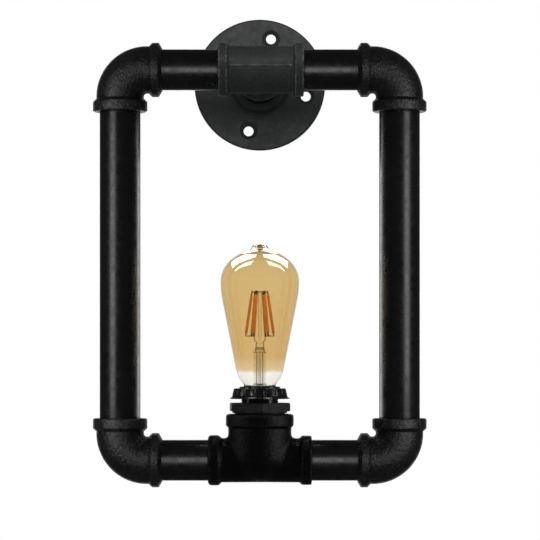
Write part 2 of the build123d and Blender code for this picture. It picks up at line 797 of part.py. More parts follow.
def make_core(side, screw_x, screw_top):
    """One stripped core: out of the sheath to the terminal block, and from the sheath up to its screw."""
    offset = side * core_spacing / 2
    pole = side * pole_spacing / 2
    wall_end = [
        (pole, block_front, 0),
        (pole, block_front - core_free_length * 0.35, 0),
        (offset, flex_start + core_free_length * 0.35, 0),
        (offset, flex_start, 0),
    ]
    lamp_end = [
        (-flex_end_from_centre, offset, 0),
        (-flex_end_from_centre + core_d * 2, offset, 0),
        (screw_x, 0, screw_top / 2),
        (screw_x, 0, screw_top),
    ]
    wall_piece = wire_along(wall_end, core_d / 2, core_bend_radius)
    return wall_piece + lamp_axis * wire_along(lamp_end, core_d / 2, core_bend_radius)


def make_terminal_block():
    """Moulded two-pole block in the nipple's mouth, bored for its barrels and screws."""
    middle = (block_back + block_front) / 2
    body = Pos(0, middle, 0) * Box(block_width, block_length, block_height)
    for x, y in block_screw_places():
        body -= Pos(x, y, 0) * disc(block_screw_d / 2, 0, block_height)
    for x in (-pole_spacing / 2, pole_spacing / 2):
        body -= Pos(x, block_back + 1, 0) * Rot(90, 0, 0) * disc(barrel_od / 2, 0, block_length + 2)
    return body


def block_screw_places():
    """Centres of the terminal block's screws, two on each pole."""
    rows = (block_back - block_length / 4, block_front + block_length / 4)
    return [(side * pole_spacing / 2, y) for side in (-1, 1) for y in rows]


def make_terminal_barrels():
    """Brass tubes that join the supply's wires to the flex's cores."""
    barrels = Part()
    for x in (-pole_spacing / 2, pole_spacing / 2):
        barrel = pipe(barrel_od / 2, barrel_bore / 2, 0, block_length)
        barrels += Pos(x, block_back, 0) * Rot(90, 0, 0) * barrel
    return barrels


def make_block_screws():
    """Four grub screws that clamp the wires, standing on the barrels."""
    screws = Part()
    barrel_r = barrel_od / 2
    for x, y in block_screw_places():
        screw = disc(block_screw_d / 2, 0, barrel_r + block_screw_height)
        screw -= Rot(90, 0, 0) * Cylinder(barrel_r, block_length)
        screws += Pos(x, y, 0) * screw
    return screws


# ---- The whole light -----------------------------------------------------------------------------------
def make_nodes():
    """Every separate piece by name."""
    live_top = base_bottom - terminal_head_height
    nodes = {
        "wall_flange": make_wall_flange(),
        "wall_nipple": make_wall_nipple(),
        "wall_tee": make_wall_tee(),
        "lamp_tee": make_lamp_tee(),
        "hex_bush": make_hex_bush(),
        "holder_skirt": make_holder_skirt(),
        "holder_base": make_holder_base(),
        "screw_shell": make_screw_shell(),
        "centre_contact": make_centre_contact(),
        "terminal_screws": make_terminal_screws(),
        "shade_ring": make_shade_ring(),
        "lamp_cap": make_lamp_cap(),
        "lamp_insulator": make_lamp_insulator(),
        "lamp_tip": make_lamp_tip(),
        "lamp_glass": make_lamp_glass(),
        "glass_stem": make_glass_stem(),
        "filament_crown": make_filament_crown(),
        "driver_board": make_driver_board(),
        "driver_capacitor": make_driver_capacitor(),
        "inner_flex": make_inner_flex(),
        "live_core": make_core(-1, live_screw_x, live_top),
        "neutral_core": make_core(1, neutral_screw_x, live_top),
        "terminal_block": make_terminal_block(),
        "terminal_barrels": make_terminal_barrels(),
        "terminal_block_screws": make_block_screws(),
    }
    for side, name in ((-1, "left"), (1, "right")):
        nodes[f"top_{name}_pipe"] = make_level_pipe(side, 0, wall_tee_run_reach)
        nodes[f"bottom_{name}_pipe"] = make_level_pipe(side, -frame_height, lamp_tee_run_reach)
        nodes[f"{name}_upright_pipe"] = make_upright_pipe(side)
        nodes[f"top_{name}_elbow"] = make_elbow(side, True)
        nodes[f"bottom_{name}_elbow"] = make_elbow(side, False)
        nodes[f"filament_{name}_link"] = make_filament_link(side)
        nodes[f"{name}_lead_wire"] = make_lead(side)
    for index in range(filament_count):
        nodes[f"led_filament_{index + 1}"] = make_filament(index)
    return nodes


if __name__ == "__main__":
    os.makedirs("parts", exist_ok=True)
    for name, shape in make_nodes().items():
        shape.label = name
        export_step(shape, f"parts/{name}.step")
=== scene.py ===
"""Finished pieces of the industrial pipe wall light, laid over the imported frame, and a plain studio round it.

Lengths in the code are millimetres and are turned into metres where they reach Blender. +X is right, +Y is into
the wall and +Z is up. The origin is the centre of the flange's back face.
"""

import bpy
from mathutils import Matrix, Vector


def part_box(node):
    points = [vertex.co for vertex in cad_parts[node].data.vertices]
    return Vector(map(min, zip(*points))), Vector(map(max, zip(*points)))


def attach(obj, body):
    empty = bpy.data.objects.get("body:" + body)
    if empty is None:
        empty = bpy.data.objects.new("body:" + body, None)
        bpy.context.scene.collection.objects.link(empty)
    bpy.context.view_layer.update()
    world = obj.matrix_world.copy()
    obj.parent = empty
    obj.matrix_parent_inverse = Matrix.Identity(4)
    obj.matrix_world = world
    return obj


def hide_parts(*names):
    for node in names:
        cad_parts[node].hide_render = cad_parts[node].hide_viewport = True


bl_info = {
    "name": "Industrial Pipe Wall Light",
    "version": (1, 0, 0),
    "blender": (4, 5, 0),
    "location": "View3D > Sidebar > Pipe Light",
    "description": "Builds a wall light of black pipe fittings with a filament lamp, and a studio round it",
    "category": "Object",
}

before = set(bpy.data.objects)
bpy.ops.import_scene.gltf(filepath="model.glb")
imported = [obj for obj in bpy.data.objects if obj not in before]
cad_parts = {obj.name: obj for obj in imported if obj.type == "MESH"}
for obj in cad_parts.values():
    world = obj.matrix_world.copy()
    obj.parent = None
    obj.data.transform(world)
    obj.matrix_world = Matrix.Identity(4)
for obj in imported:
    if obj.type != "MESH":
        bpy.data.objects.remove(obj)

from contextlib import contextmanager
from math import atan2, cos, hypot, pi, radians, sin, sqrt, tan

import bmesh
import bpy
from bpy.props import FloatProperty, FloatVectorProperty, IntProperty, PointerProperty
from mathutils import Vector

MM = 0.001
AROUND = 96  # faces round a turned piece
SHARP = radians(32)  # edges steeper than this stay crisp
FITTING_VOXEL = 0.62  # mesh size of the two cast tees
WELD = 0.003 * MM  # points closer than this are merged
PIPE_SLIP = 0.05  # radial gap between a pipe and the elbow or flange round it
TEE_SLIP = 0.08  # the same in the two tees
SOCKET_DEPTH = 14.0  # of each tee's mouths
CORE_WALL = 4.0  # wall of a fitting's body, outside its mouths
WALL_TEE_REACH = 36.0  # from the wall tee's centre to its right and rear faces
LAMP_TEE_REACH = 42.5  # from the lamp tee's centre to its side faces
CAP_RIM = 61.3  # top of the lamp's cap, in the lamp's own frame
NECK_BORE = 15.25  # radius of the bush's hole for the holder's neck
RING_FOOT = 50.4  # underside of the shade ring, in the lamp's own frame
WIRE_R = 0.4  # radius of the wires at the filaments' tops
LEAD_R = 0.35  # radius of the links and leads
LAMP_TURN = 6.0  # degrees from +X to the first filament
FILAMENT_FOOT = (11.6, 101.9)  # radius and height of each filament's lower end
FILAMENT_HEAD = (6.4, 137.9)  # the same of its upper end
CAMERA_SHIFT = (0.0189, 0.1603)  # share of the picture's width


def size_of(node, axis):
    """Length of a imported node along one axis, in metres."""
    low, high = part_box(node)
    return high[axis] - low[axis]


# ---- Sizes and finishes that a user may change ---------------------------------------------------------
def length(name, description, default):
    """A size property, given in millimetres."""
    looks = {"subtype": "DISTANCE", "unit": "LENGTH", "precision": 5}
    return FloatProperty(name=name, description=description, default=default * MM, min=0.0, **looks)


def measured(name, description, node):
    """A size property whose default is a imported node's width."""
    return length(name, description, size_of(node, 0) / MM)


def amount(name, description, default):
    """A plain number that isn't negative."""
    return FloatProperty(name=name, description=description, default=default, min=0.0)


def count(name, description, default):
    """A whole number of like features."""
    return IntProperty(name=name, description=description, default=default, min=2, max=36)


def colour(name, description, default):
    """A colour property."""
    looks = {"size": 3, "min": 0.0, "max": 1.0, "subtype": "COLOR"}
    return FloatVectorProperty(name=name, description=description, default=default, **looks)


class PipeLightFrameSizes(bpy.types.PropertyGroup):
    """Sizes of the pipes and the cast fittings."""

    frame_width: length("Frame width", "Between the axes of the two uprights", 229.0)
    frame_height: length("Frame height", "Between the axes of the top and bottom pipes", 320.0)
    standoff: length("Standoff", "From the wall to the plane of the pipes", 110.0)
    pipe_diameter: measured("Pipe diameter", "Outside diameter of every pipe", "left_upright_pipe")
    pipe_wall: length("Pipe wall", "Wall thickness of the pipes", 2.6)
    engagement: length("Engagement", "Length of pipe inside each fitting", 13.0)
    collar_diameter: length("Collar diameter", "Across the thick mouths of the elbows and the wall tee", 43.6)
    collar_width: length("Collar width", "Length of the thick part of each mouth", 8.0)
    elbow_diameter: length("Elbow diameter", "Across an elbow's bend", 38.0)
    elbow_reach: length("Elbow reach", "From an elbow's centre to its face", 34.5)
    elbow_bend: length("Elbow bend", "Radius of an elbow's centre line", 22.0)
    nose_length: length("Nose length", "Of the bevel in front of the collar on each elbow's level arm", 3.1)
    nose_depth: length("Nose depth", "How far that bevel falls from the collar", 4.2)
    seam_height: length("Seam height", "Height of the castings' parting lines", 0.45)


class PipeLightFlangeSizes(bpy.types.PropertyGroup):
    """Sizes of the wall flange."""

    diameter: measured("Flange diameter", "Across the round plate", "wall_flange")
    thickness: length("Flange thickness", "Of the round plate", 6.0)
    screw_circle: length("Screw circle", "Diameter through the screw holes", 82.0)
    screw_hole: length("Screw hole", "Diameter of each screw hole", 8.6)
    countersink: length("Countersink", "Diameter of each countersink", 15.0)
    screw_holes: count("Screw holes", "How many screw holes", 4)
    first_angle: FloatProperty(
        name="First hole",
        description="Angle of the first hole from +X towards +Z",
        default=radians(76.3),
        subtype="ANGLE",
    )


class PipeLightLampSizes(bpy.types.PropertyGroup):
    """Sizes of the lamp, its ring and its filaments."""

    bulb_diameter: measured("Bulb diameter", "Across the widest part of the glass", "lamp_glass")
    bulb_height: length("Bulb height", "From the cap's rim to the crown", 112.0)
    glass_wall: length("Glass wall", "Thickness of the blown glass", 0.9)
    filament_diameter: length("Filament diameter", "Of each coated stick", 2.35)
    filament_count: count("Filaments", "How many filament sticks", 6)
    flute_count: count("Flutes", "How many grooves round the shade ring", 16)


class PipeLightFinishes(bpy.types.PropertyGroup):
    """Colours and grain of the finishes."""

    pipe: colour("Pipe paint", "Paint on the pipes", (0.0042, 0.0036, 0.0042))
    iron: colour("Casting paint", "Paint on the flange and the wall tee", (0.030, 0.036, 0.0335))
    elbow: colour("Elbow paint", "Paint on the rough elbows, the bush and the lamp tee", (0.0045, 0.0045, 0.0048))
    holder: colour("Holder", "Moulded lamp holder and ring", (0.004, 0.0042, 0.005))
    amber: colour("Amber glass", "Tint of the bulb's glass", (0.82, 0.684, 0.434))
    clear: colour("Clear glass", "Glass near the cap", (0.99, 0.978, 0.945))
    filament: colour("Filament", "Coating on the filament sticks", (1.0, 0.36, 0.001))
    grain_size: length("Grain size", "Width of the bumps on the castings", 1.5)
    grain_height: length("Grain height", "Height of the bumps on the castings", 0.16)


class PipeLightStudio(bpy.types.PropertyGroup):
    """Camera, lamps and floor."""

    lens: amount("Lens", "Focal length in millimetres on a 36 mm sensor", 154.5)
    camera_distance: length("Camera distance", "From the camera to the plane of the pipes", 1900.0)
    camera_drop: length("Camera drop", "Height of the camera below the flange's centre", 235.0)
    window_watts: amount("Window power", "Power of each soft box over the bulb", 75.0)
    strip_watts: amount("Strip power", "Power of each tall box beside an upright", 7.0)
    edge_watts: amount("Edge power", "Power of each box behind an upright", 2.8)
    front_watts: amount("Front power", "Power of each box before a row of level pipes", 6.0)
    iron_watts: amount("Iron power", "Power of the box on the flange, twice that on the wall tee", 9.0)
    side_watts: amount("Side power", "Power of the boxes beside the lamp tee", 2.5)
    ambient: amount("Ambient", "Strength of the surrounding light", 0.4)
    front_dark: amount("Room reflection", "What glossy faces see behind the camera", 0.05)
    floor_drop: length("Floor", "Height of the floor below the flange's centre", 600.0)


# ---- Modelling helpers ---------------------------------------------------------------------------------
def to_object_mode():
    """Leaves edit mode if a piece is being edited."""
    if bpy.context.object and bpy.context.object.mode != "OBJECT":
        bpy.ops.object.mode_set(mode="OBJECT")


def select_only(*pieces):
    """Selects these objects and makes the first one active."""
    to_object_mode()
    bpy.ops.object.select_all(action="DESELECT")
    for piece in pieces:
        piece.select_set(True)
    if pieces:
        bpy.context.view_layer.objects.active = pieces[0]


@contextmanager
def editing(piece):
    """Edit mode on one piece, with all of it selected at first."""
    select_only(piece)
    bpy.ops.object.mode_set(mode="EDIT")
    bpy.ops.mesh.select_all(action="SELECT")
    yield
    bpy.ops.object.mode_set(mode="OBJECT")


def weld():
    """In edit mode, merges points that stand together."""
    bpy.ops.mesh.select_all(action="SELECT")
    bpy.ops.mesh.remove_doubles(threshold=WELD)


def face_out():
    """In edit mode, turns every face outwards."""
    bpy.ops.mesh.select_all(action="SELECT")
    bpy.ops.mesh.normals_make_consistent(inside=False)


def settle():
    """Keeps the active piece's place, turn and scale in its mesh."""
    bpy.ops.object.transform_apply(location=True, rotation=True, scale=True)


def named(name):
    """Names the active object and its mesh."""
    piece = bpy.context.object
    piece.name = name
    piece.data.name = name
    return piece


def point(x, y, z):
    """A place in millimetres, in metres."""
    return Vector((x, y, z)) * MM


def pick(piece, test):
    """In edit mode, selects just the vertices whose place in millimetres passes the test."""
    mesh = bmesh.from_edit_mesh(piece.data)
    for face in mesh.faces:
        face.select_set(False)
    for edge in mesh.edges:
        edge.select_set(False)
    for vertex in mesh.verts:
        vertex.select_set(bool(test(vertex.co / MM)))
    mesh.select_flush_mode()
    bmesh.update_edit_mesh(piece.data)


def rounded(corners, steps=5):
    """An outline whose corners with a third number are rounded to that radius."""
    points = []
    for index, corner in enumerate(corners):
        here = Vector(corner[:2])
        if len(corner) < 3:
            points.append(here)
            continue
        before = (Vector(corners[index - 1][:2]) - here).normalized()
        after = (Vector(corners[(index + 1) % len(corners)][:2]) - here).normalized()
        half = before.angle(after) / 2
        centre = here + (before + after).normalized() * corner[2] / sin(half)
        start = here + before * corner[2] / tan(half) - centre
        stop = here + after * corner[2] / tan(half) - centre
        turn = atan2(start.x * stop.y - start.y * stop.x, start.dot(stop))
        first = atan2(start.y, start.x)
        for step in range(steps + 1):
            angle = first + turn * step / steps
            points.append(centre + Vector((cos(angle), sin(angle))) * corner[2])
    return points


def arc_on(start, heading, end, steps=12):
    """Points after start on the arc that leaves it along heading and reaches end."""
    start, heading, end = Vector(start), Vector(heading).normalized(), Vector(end)
    across = Vector((-heading.y, heading.x))
    run = end - start
    radius = run.length_squared / (2 * across.dot(run))
    centre = start + across * radius
    first = atan2(*reversed(start - centre))
    turn = atan2(run.dot(across), run.dot(heading)) * 2
    spots = [first + turn * step / steps for step in range(1, steps + 1)]
    return [centre + Vector((cos(a), sin(a))) * abs(radius) for a in spots]


def drawn(name, outline):
    """A closed line of edges through (radius, height) points, extruded from the first one."""
    first, *rest = [Vector(spot[:2]) for spot in outline]
    select_only()
    bpy.ops.mesh.primitive_plane_add(size=MM, location=point(first.x, 0, first.y))
    piece = named(name)
    settle()
    with editing(piece):
        bpy.ops.mesh.merge(type="CENTER")
        here = first
        for spot in [*rest, first]:
            step = point(spot.x - here.x, 0, spot.y - here.y)
            bpy.ops.mesh.extrude_region_move(TRANSFORM_OT_translate={"value": step})
            here = spot
        weld()
    return piece


def turned(name, outline, around=AROUND):
    """Spins a closed outline of (radius, height) about Z into a closed shell."""
    piece = drawn(name, outline)
    with editing(piece):
        bpy.ops.mesh.spin(steps=around, angle=2 * pi, center=(0, 0, 0), axis=(0, 0, 1))
        weld()
        face_out()
    smooth(piece)
    return piece


def smooth(piece, angle=SHARP):
    """Smooth shading with crisp edges where faces meet steeply."""
    select_only(piece)
    bpy.ops.object.shade_smooth_by_angle(angle=angle)


def place(piece, at=(0, 0, 0), turn=(0, 0, 0)):
    """Turns a piece by degrees, moves it to its place in millimetres and keeps that place in the mesh."""
    select_only(piece)
    piece.rotation_euler = [radians(a) for a in turn]
    piece.location = point(*at)
    settle()
    return piece


def aimed(piece, along, at):
    """Turns a piece's Z axis along a direction, moves it to its place in millimetres and keeps that in the mesh."""
    piece.rotation_mode = "QUATERNION"
    piece.rotation_quaternion = along.to_track_quat("Z", "Y")
    piece.location = at * MM
    settle()
    piece.rotation_mode = "XYZ"
    smooth(piece)
    return piece


def copied(piece, name):
    """A copy of a piece with its own mesh."""
    select_only(piece)
    bpy.ops.object.duplicate()
    return named(name)


def applied(piece, kind, **settings):
    """Adds one modifier with these settings and applies it."""
    select_only(piece)
    modifier = piece.modifiers.new(kind.title(), kind)
    for key, value in settings.items():
        setattr(modifier, key, value)
    bpy.ops.object.modifier_apply(modifier=modifier.name)
    return piece


def combined(piece, tool, operation):
    """Adds a solid to a piece or cuts it away, and removes the tool."""
    applied(piece, "BOOLEAN", operation=operation, solver="EXACT", object=tool)
    bpy.data.objects.remove(tool)
    return piece


def joined(name, *pieces):
    """Joins loose pieces into one object."""
    select_only(*pieces)
    if len(pieces) > 1:
        bpy.ops.object.join()
    return named(name)


def refaced(piece):
    """Makes a joined piece's faces all point outwards."""
    with editing(piece):
        face_out()
    return piece


def filleted(piece, weight_of, passes):
    """Makes a casting one even mesh and fills the sharp inside corner of its bodies, by smoothing just round it."""
    applied(piece, "REMESH", mode="VOXEL", voxel_size=FITTING_VOXEL * MM, use_smooth_shade=True)
    group = piece.vertex_groups.new(name="crease")
    for vertex in piece.data.vertices:
        weight = weight_of(vertex.co / MM)
        if weight > 0:
            group.add([vertex.index], weight, "REPLACE")
    applied(piece, "SMOOTH", factor=0.7, iterations=passes, vertex_group="crease")
    piece.vertex_groups.clear()
    return piece


def seamed(piece, height_of):
    """Raises a casting's parting line: each vertex moves out by a height in millimetres found from its place."""
    normals = [v.normal.copy() for v in piece.data.vertices]
    for vertex, normal in zip(piece.data.vertices, normals):
        vertex.co += normal * height_of(vertex.co / MM) * MM
    return piece


def grained(piece, finishes, share=1.0):
    """Presses the casting's sand grain into the mesh."""
    texture = bpy.data.textures.new(piece.name + "_grain", "CLOUDS")
    texture.noise_scale = finishes.grain_size
    texture.noise_depth = 3
    strength = finishes.grain_height * share
    return applied(piece, "DISPLACE", texture=texture, texture_coords="LOCAL", strength=strength, mid_level=0.5)


def wound(piece, pitch, turns):
    """Drives a closed profile up Z by a screw modifier and fills its ends."""
    detail = {"steps": 72, "render_steps": 72}
    applied(piece, "SCREW", axis="Z", angle=2 * pi, screw_offset=pitch * MM, iterations=turns, **detail)
    with editing(piece):
        bpy.ops.mesh.fill_holes(sides=0)
        face_out()
    smooth(piece)
    return piece


def thread(name, root_r, crest_r, low, pitch, turns, blunt=0.3):
    """A helical ridge whose crest is flat over a blunt share of half a pitch."""
    half = pitch / 2
    corners = [
        (root_r, low),
        (crest_r, low + half * (1 - blunt)),
        (crest_r, low + half * (1 + blunt)),
        (root_r, low + pitch * 0.96),
    ]
    return wound(drawn(name, corners), pitch, turns)


def rolled_thread(name, root_r, crest_r, low, pitch, turns):
    """A rolled thread: a helical ridge of rounded section."""
    select_only()
    bpy.ops.mesh.primitive_circle_add(vertices=18, radius=MM, location=(0, 0, 0), rotation=(pi / 2, 0, 0))
    piece = named(name)
    settle()
    with editing(piece):
        bpy.ops.transform.resize(value=(crest_r - root_r, 1, pitch * 0.4), center_override=(0, 0, 0))
        bpy.ops.transform.translate(value=point(root_r, 0, low + pitch / 2))
    return wound(piece, pitch, turns)


def bar(name, start, end, radius, around=20):
    """A round bar between two places, its ends softened."""
    start, end = Vector(start), Vector(end)
    run = end - start
    select_only()
    bpy.ops.mesh.primitive_cylinder_add(vertices=around, radius=radius * MM, depth=run.length * MM, location=(0, 0, 0))
    piece = named(name)
    applied(piece, "BEVEL", width=radius * 0.35 * MM, segments=3, limit_method="ANGLE", angle_limit=radians(50))
    return aimed(piece, run, (start + end) / 2)


def wire(name, spots, radius):
    """A round wire along a smooth curve through some places."""
    select_only()
    bpy.ops.curve.primitive_bezier_curve_add()
    line = bpy.context.object
    spline = line.data.splines[0]
    spline.bezier_points.add(len(spots) - 2)
    for knot, spot in zip(spline.bezier_points, spots):
        knot.co = Vector(spot) * MM
        knot.handle_left_type = knot.handle_right_type = "AUTO"
    line.data.dimensions = "3D"
    line.data.resolution_u = 8
    line.data.bevel_depth = radius * MM
    line.data.bevel_resolution = 3
    line.data.use_fill_caps = True
    select_only(line)
    bpy.ops.object.convert(target="MESH")
    piece = named(name)
    settle()
    with editing(piece):
        weld()
        face_out()
    smooth(piece)
    return piece


def finished(piece, body, slot, material, *nodes):
    """Gives a piece its finish and its place in the frame."""
    piece.data.materials.clear()
    piece.data.materials.append(material)
    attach(piece, body)
    if nodes:
        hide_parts(*nodes)
    return piece


# ---- Materials -----------------------------------------------------------------------------------------
class Nodes:
    """A short way to add and link nodes in one tree."""

    def __init__(self, tree):
        self.tree = tree

    def feed(self, socket, value):
        """Links another node's socket to this one, or gives it a constant."""
        if isinstance(value, bpy.types.NodeSocket):
            self.tree.links.new(value, socket)
        else:
            socket.default_value = value

    def add(self, kind, inputs=None, **settings):
        node = self.tree.nodes.new(kind)
        for key, value in settings.items():
            setattr(node, key, value)
        for key, value in (inputs or {}).items():
            self.feed(node.inputs[key], value)
        return node

    def math(self, operation, first, second):
        return self.add("ShaderNodeMath", {0: first, 1: second}, operation=operation).outputs[0]

    def between(self, value, low, high, to_low=0.0, to_high=1.0):
        inputs = {"Value": value, "From Min": low, "From Max": high, "To Min": to_low, "To Max": to_high}
        return self.add("ShaderNodeMapRange", inputs).outputs["Result"]

    def mix(self, factor, first, second):
        return self.add("ShaderNodeMix", {0: factor, 6: first, 7: second}, data_type="RGBA").outputs[2]

    def noise(self, where, scale, detail=3.0, roughness=0.55):
        inputs = {"Vector": where, "Scale": scale, "Detail": detail, "Roughness": roughness}
        return self.add("ShaderNodeTexNoise", inputs).outputs[0]


def effect(name, sockets_in, sockets_out):
    """A new shader group with these named number sockets, its input and output nodes and a node helper."""
    group = bpy.data.node_groups.new(name, "ShaderNodeTree")
    for label, default in sockets_in:
        socket = group.interface.new_socket(name=label, in_out="INPUT", socket_type="NodeSocketFloat")
        socket.default_value = default
    for label in sockets_out:
        group.interface.new_socket(name=label, in_out="OUTPUT", socket_type="NodeSocketFloat")
    nodes = Nodes(group)
    return group, nodes, nodes.add("NodeGroupInput"), nodes.add("NodeGroupOutput")


def sand_grain():
    """Height of sand-cast iron under paint, and a painted highlight on the tops of its grain."""
    group, nodes, given, result = effect("Sand Grain", [("Scale", 650.0)], ["Height", "Grain Glint"])
    where = nodes.add("ShaderNodeTexCoord").outputs["Object"]
    coarse = nodes.noise(where, given.outputs["Scale"], 5.0, 0.62)
    finer = nodes.math("MULTIPLY", given.outputs["Scale"], 2.6)
    pits = nodes.add("ShaderNodeTexVoronoi", {"Vector": where, "Scale": finer}, feature="SMOOTH_F1").outputs["Distance"]
    height = nodes.math("ADD", nodes.math("MULTIPLY", coarse, 0.75), nodes.math("MULTIPLY", pits, 0.35))
    nodes.tree.links.new(height, result.inputs["Height"])
    # the tops of the grain, where the paint is lightened as a painted highlight
    nodes.tree.links.new(nodes.between(coarse, 0.5, 0.72), result.inputs["Grain Glint"])
    return group


def paint_drift():
    """Slow changes over a painted surface, and fine blotches on top of them."""
    group, nodes, given, result = effect("Paint Drift", [("Scale", 22.0)], ["Slow", "Blotch"])
    where = nodes.add("ShaderNodeTexCoord").outputs["Object"]
    slow = nodes.noise(where, given.outputs["Scale"], 3.0, 0.6)
    finer = nodes.math("MULTIPLY", given.outputs["Scale"], 9.0)
    blotch = nodes.noise(where, finer, 4.0, 0.7)
    nodes.tree.links.new(nodes.between(slow, 0.35, 0.65), result.inputs["Slow"])
    nodes.tree.links.new(nodes.between(blotch, 0.38, 0.66), result.inputs["Blotch"])
    return group


def edge_wear_and_sheen():
    """Raised edges, broken up by noise: paint wear from handling, and a painted highlight along the edges."""
    group, nodes, given, result = effect("Edge Wear And Sheen", [("Reach", 0.03), ("Break-up", 320.0)], ["Mask"])
    where = nodes.add("ShaderNodeTexCoord").outputs["Object"]
    edge = nodes.add("ShaderNodeNewGeometry").outputs["Pointiness"]
    top = nodes.math("ADD", given.outputs["Reach"], 0.5)
    ridge = nodes.between(edge, 0.505, top)
    broken = nodes.noise(where, given.outputs["Break-up"], 4.0, 0.7)
    mask = nodes.math("MULTIPLY", ridge, nodes.between(broken, 0.42, 0.6))
    nodes.tree.links.new(mask, result.inputs["Mask"])
    return group


def group_node(nodes, group, **inputs):
    """One placed copy of a shared effect."""
    node = nodes.add("ShaderNodeGroup", node_tree=group)
    for key, value in inputs.items():
        node.inputs[key.replace("_", " ")].default_value = value
    return node


def new_material(name):
    """A material with its node helper and its main shader."""
    material = bpy.data.materials.new(name)
    material.use_nodes = True
    return material, Nodes(material.node_tree), material.node_tree.nodes["Principled BSDF"]


def solid(values):
    """An opaque colour from three numbers."""
    return (*values[:3], 1.0)


def brighter(values, factor, lift=0.0):
    """A colour scaled and lifted."""
    return tuple(min(v * factor + lift, 1.0) for v in values[:3])


def surfaced(material, nodes, shader, tone, rough, relief):
    """Feeds a colour, a roughness and a relief to the main shader. The relief is (height, strength, millimetres)."""
    height, strength, depth = relief
    nodes.feed(shader.inputs["Base Color"], tone)
    nodes.feed(shader.inputs["Roughness"], rough)
    bump = nodes.add("ShaderNodeBump", {"Height": height, "Strength": strength, "Distance": depth * MM})
    nodes.feed(shader.inputs["Normal"], bump.outputs["Normal"])
    return material


def painted(name, base, rough, grain_scale, grain_depth, specular=0.5, grain_glint=2.2, drift_scale=22.0, wear_and_sheen=0.0):
    """Black paint over metal: drifting tone, grain in the surface with a painted highlight on its tops, and lighter
    edges that stand for paint wear and a painted edge highlight.
    """
    material, nodes, shader = new_material(name)
    grain = group_node(nodes, EFFECTS["grain"], Scale=grain_scale)
    drift = group_node(nodes, EFFECTS["drift"], Scale=drift_scale)
    tone = nodes.mix(drift.outputs["Slow"], solid(brighter(base, 0.75)), solid(brighter(base, 1.3)))
    # the grain's tops lightened: a painted highlight
    tone = nodes.mix(grain.outputs["Grain Glint"], tone, solid(brighter(base, grain_glint)))
    if wear_and_sheen:
        edges = group_node(nodes, EFFECTS["edges"])
        wear_and_sheen_mask = nodes.math("MULTIPLY", edges.outputs["Mask"], wear_and_sheen)
        # edges lightened for paint wear and a painted edge highlight
        tone = nodes.mix(wear_and_sheen_mask, tone, solid(brighter(base, 4.0, 0.02)))
    uneven = nodes.between(drift.outputs["Blotch"], 0.0, 1.0, rough - 0.06, rough + 0.09)
    shader.inputs["Specular IOR Level"].default_value = specular
    return surfaced(material, nodes, shader, tone, uneven, (grain.outputs["Height"], 0.8, grain_depth))


def drifting(name, scale, tones, shine, relief, metallic=0.0):
    """A finish that drifts slowly in one way and blotchily in the other.

    The colour of a bare metal follows the blotches and its roughness the slow drift, other finishes the reverse.
    """
    material, nodes, shader = new_material(name)
    drift = group_node(nodes, EFFECTS["drift"], Scale=scale)
    slow, blotch = drift.outputs["Slow"], drift.outputs["Blotch"]
    tone_by, rough_by = (blotch, slow) if metallic else (slow, blotch)
    tone = nodes.mix(tone_by, *[solid(t) for t in tones])
    shader.inputs["Metallic"].default_value = metallic
    return surfaced(material, nodes, shader, tone, nodes.between(rough_by, 0.0, 1.0, *shine), (blotch, *relief))


def moulded(name, base, rough=0.12):
    """Glossy moulding with a faint ripple and dusty patches."""
    tones = (base, brighter(base, 1.6, 0.002))
    return drifting(name, 60.0, tones, (rough, rough + 0.16), (0.25, 0.05))


def bare_metal(name, base, rough=0.28):
    """Pressed or drawn metal with fine unevenness and dull spots."""
    tones = (brighter(base, 0.8), brighter(base, 1.08))
    return drifting(name, 90.0, tones, (rough - 0.06, rough + 0.12), (0.3, 0.04), 1.0)


def soft_plastic(name, base, rough=0.5):
    """Dull plastic or insulation with a faint orange-peel surface."""
    tones = (brighter(base, 0.9), brighter(base, 1.08))
    return drifting(name, 70.0, tones, (rough - 0.08, rough + 0.1), (0.35, 0.06))


def see_through(shader, ior):
    """Makes a material glass."""
    shader.inputs["IOR"].default_value = ior
    shader.inputs["Transmission Weight"].default_value = 1.0


def tinted_glass(name, amber, clear):
    """Blown glass with an amber coating that thins out towards the cap, and deepens a little on the way there."""
    material, nodes, shader = new_material(name)
    where = nodes.add("ShaderNodeTexCoord").outputs["Object"]
    height = nodes.add("ShaderNodeSeparateXYZ", {"Vector": where}).outputs["Z"]
    cloudy = nodes.noise(where, 45.0, 2.0, 0.5)
    wander = nodes.math("MULTIPLY", nodes.math("SUBTRACT", cloudy, 0.5), 0.004)
    level = nodes.math("ADD", height, wander)
    edge = nodes.between(level, -0.2490, -0.2460, 0.0, 0.68)
    fade = nodes.between(level, -0.2460, -0.235, 0.0, 0.32)
    deeper = (amber[0] * 0.985, amber[1] * 0.93, amber[2] * 0.86)
    upper = nodes.mix(nodes.between(level, -0.215, -0.165), solid(deeper), solid(amber))
    streak = nodes.mix(cloudy, upper, solid(brighter(amber, 1.01)))
    tint = nodes.mix(nodes.math("ADD", edge, fade), solid(clear), streak)
    see_through(shader, 1.46)
    return surfaced(material, nodes, shader, tint, 0.0, (nodes.noise(where, 60.0, 2.0, 0.4), 0.12, 0.12))


def plain_glass(name, tint):
    """Clear drawn glass with faint waves."""
    material, nodes, shader = new_material(name)
    where = nodes.add("ShaderNodeTexCoord").outputs["Object"]
    cloudy = nodes.noise(where, 120.0, 2.0, 0.5)
    shade = nodes.mix(cloudy, solid(brighter(tint, 0.96)), solid(tint))
    see_through(shader, 1.5)
    return surfaced(material, nodes, shader, shade, 0.02, (cloudy, 0.2, 0.1))


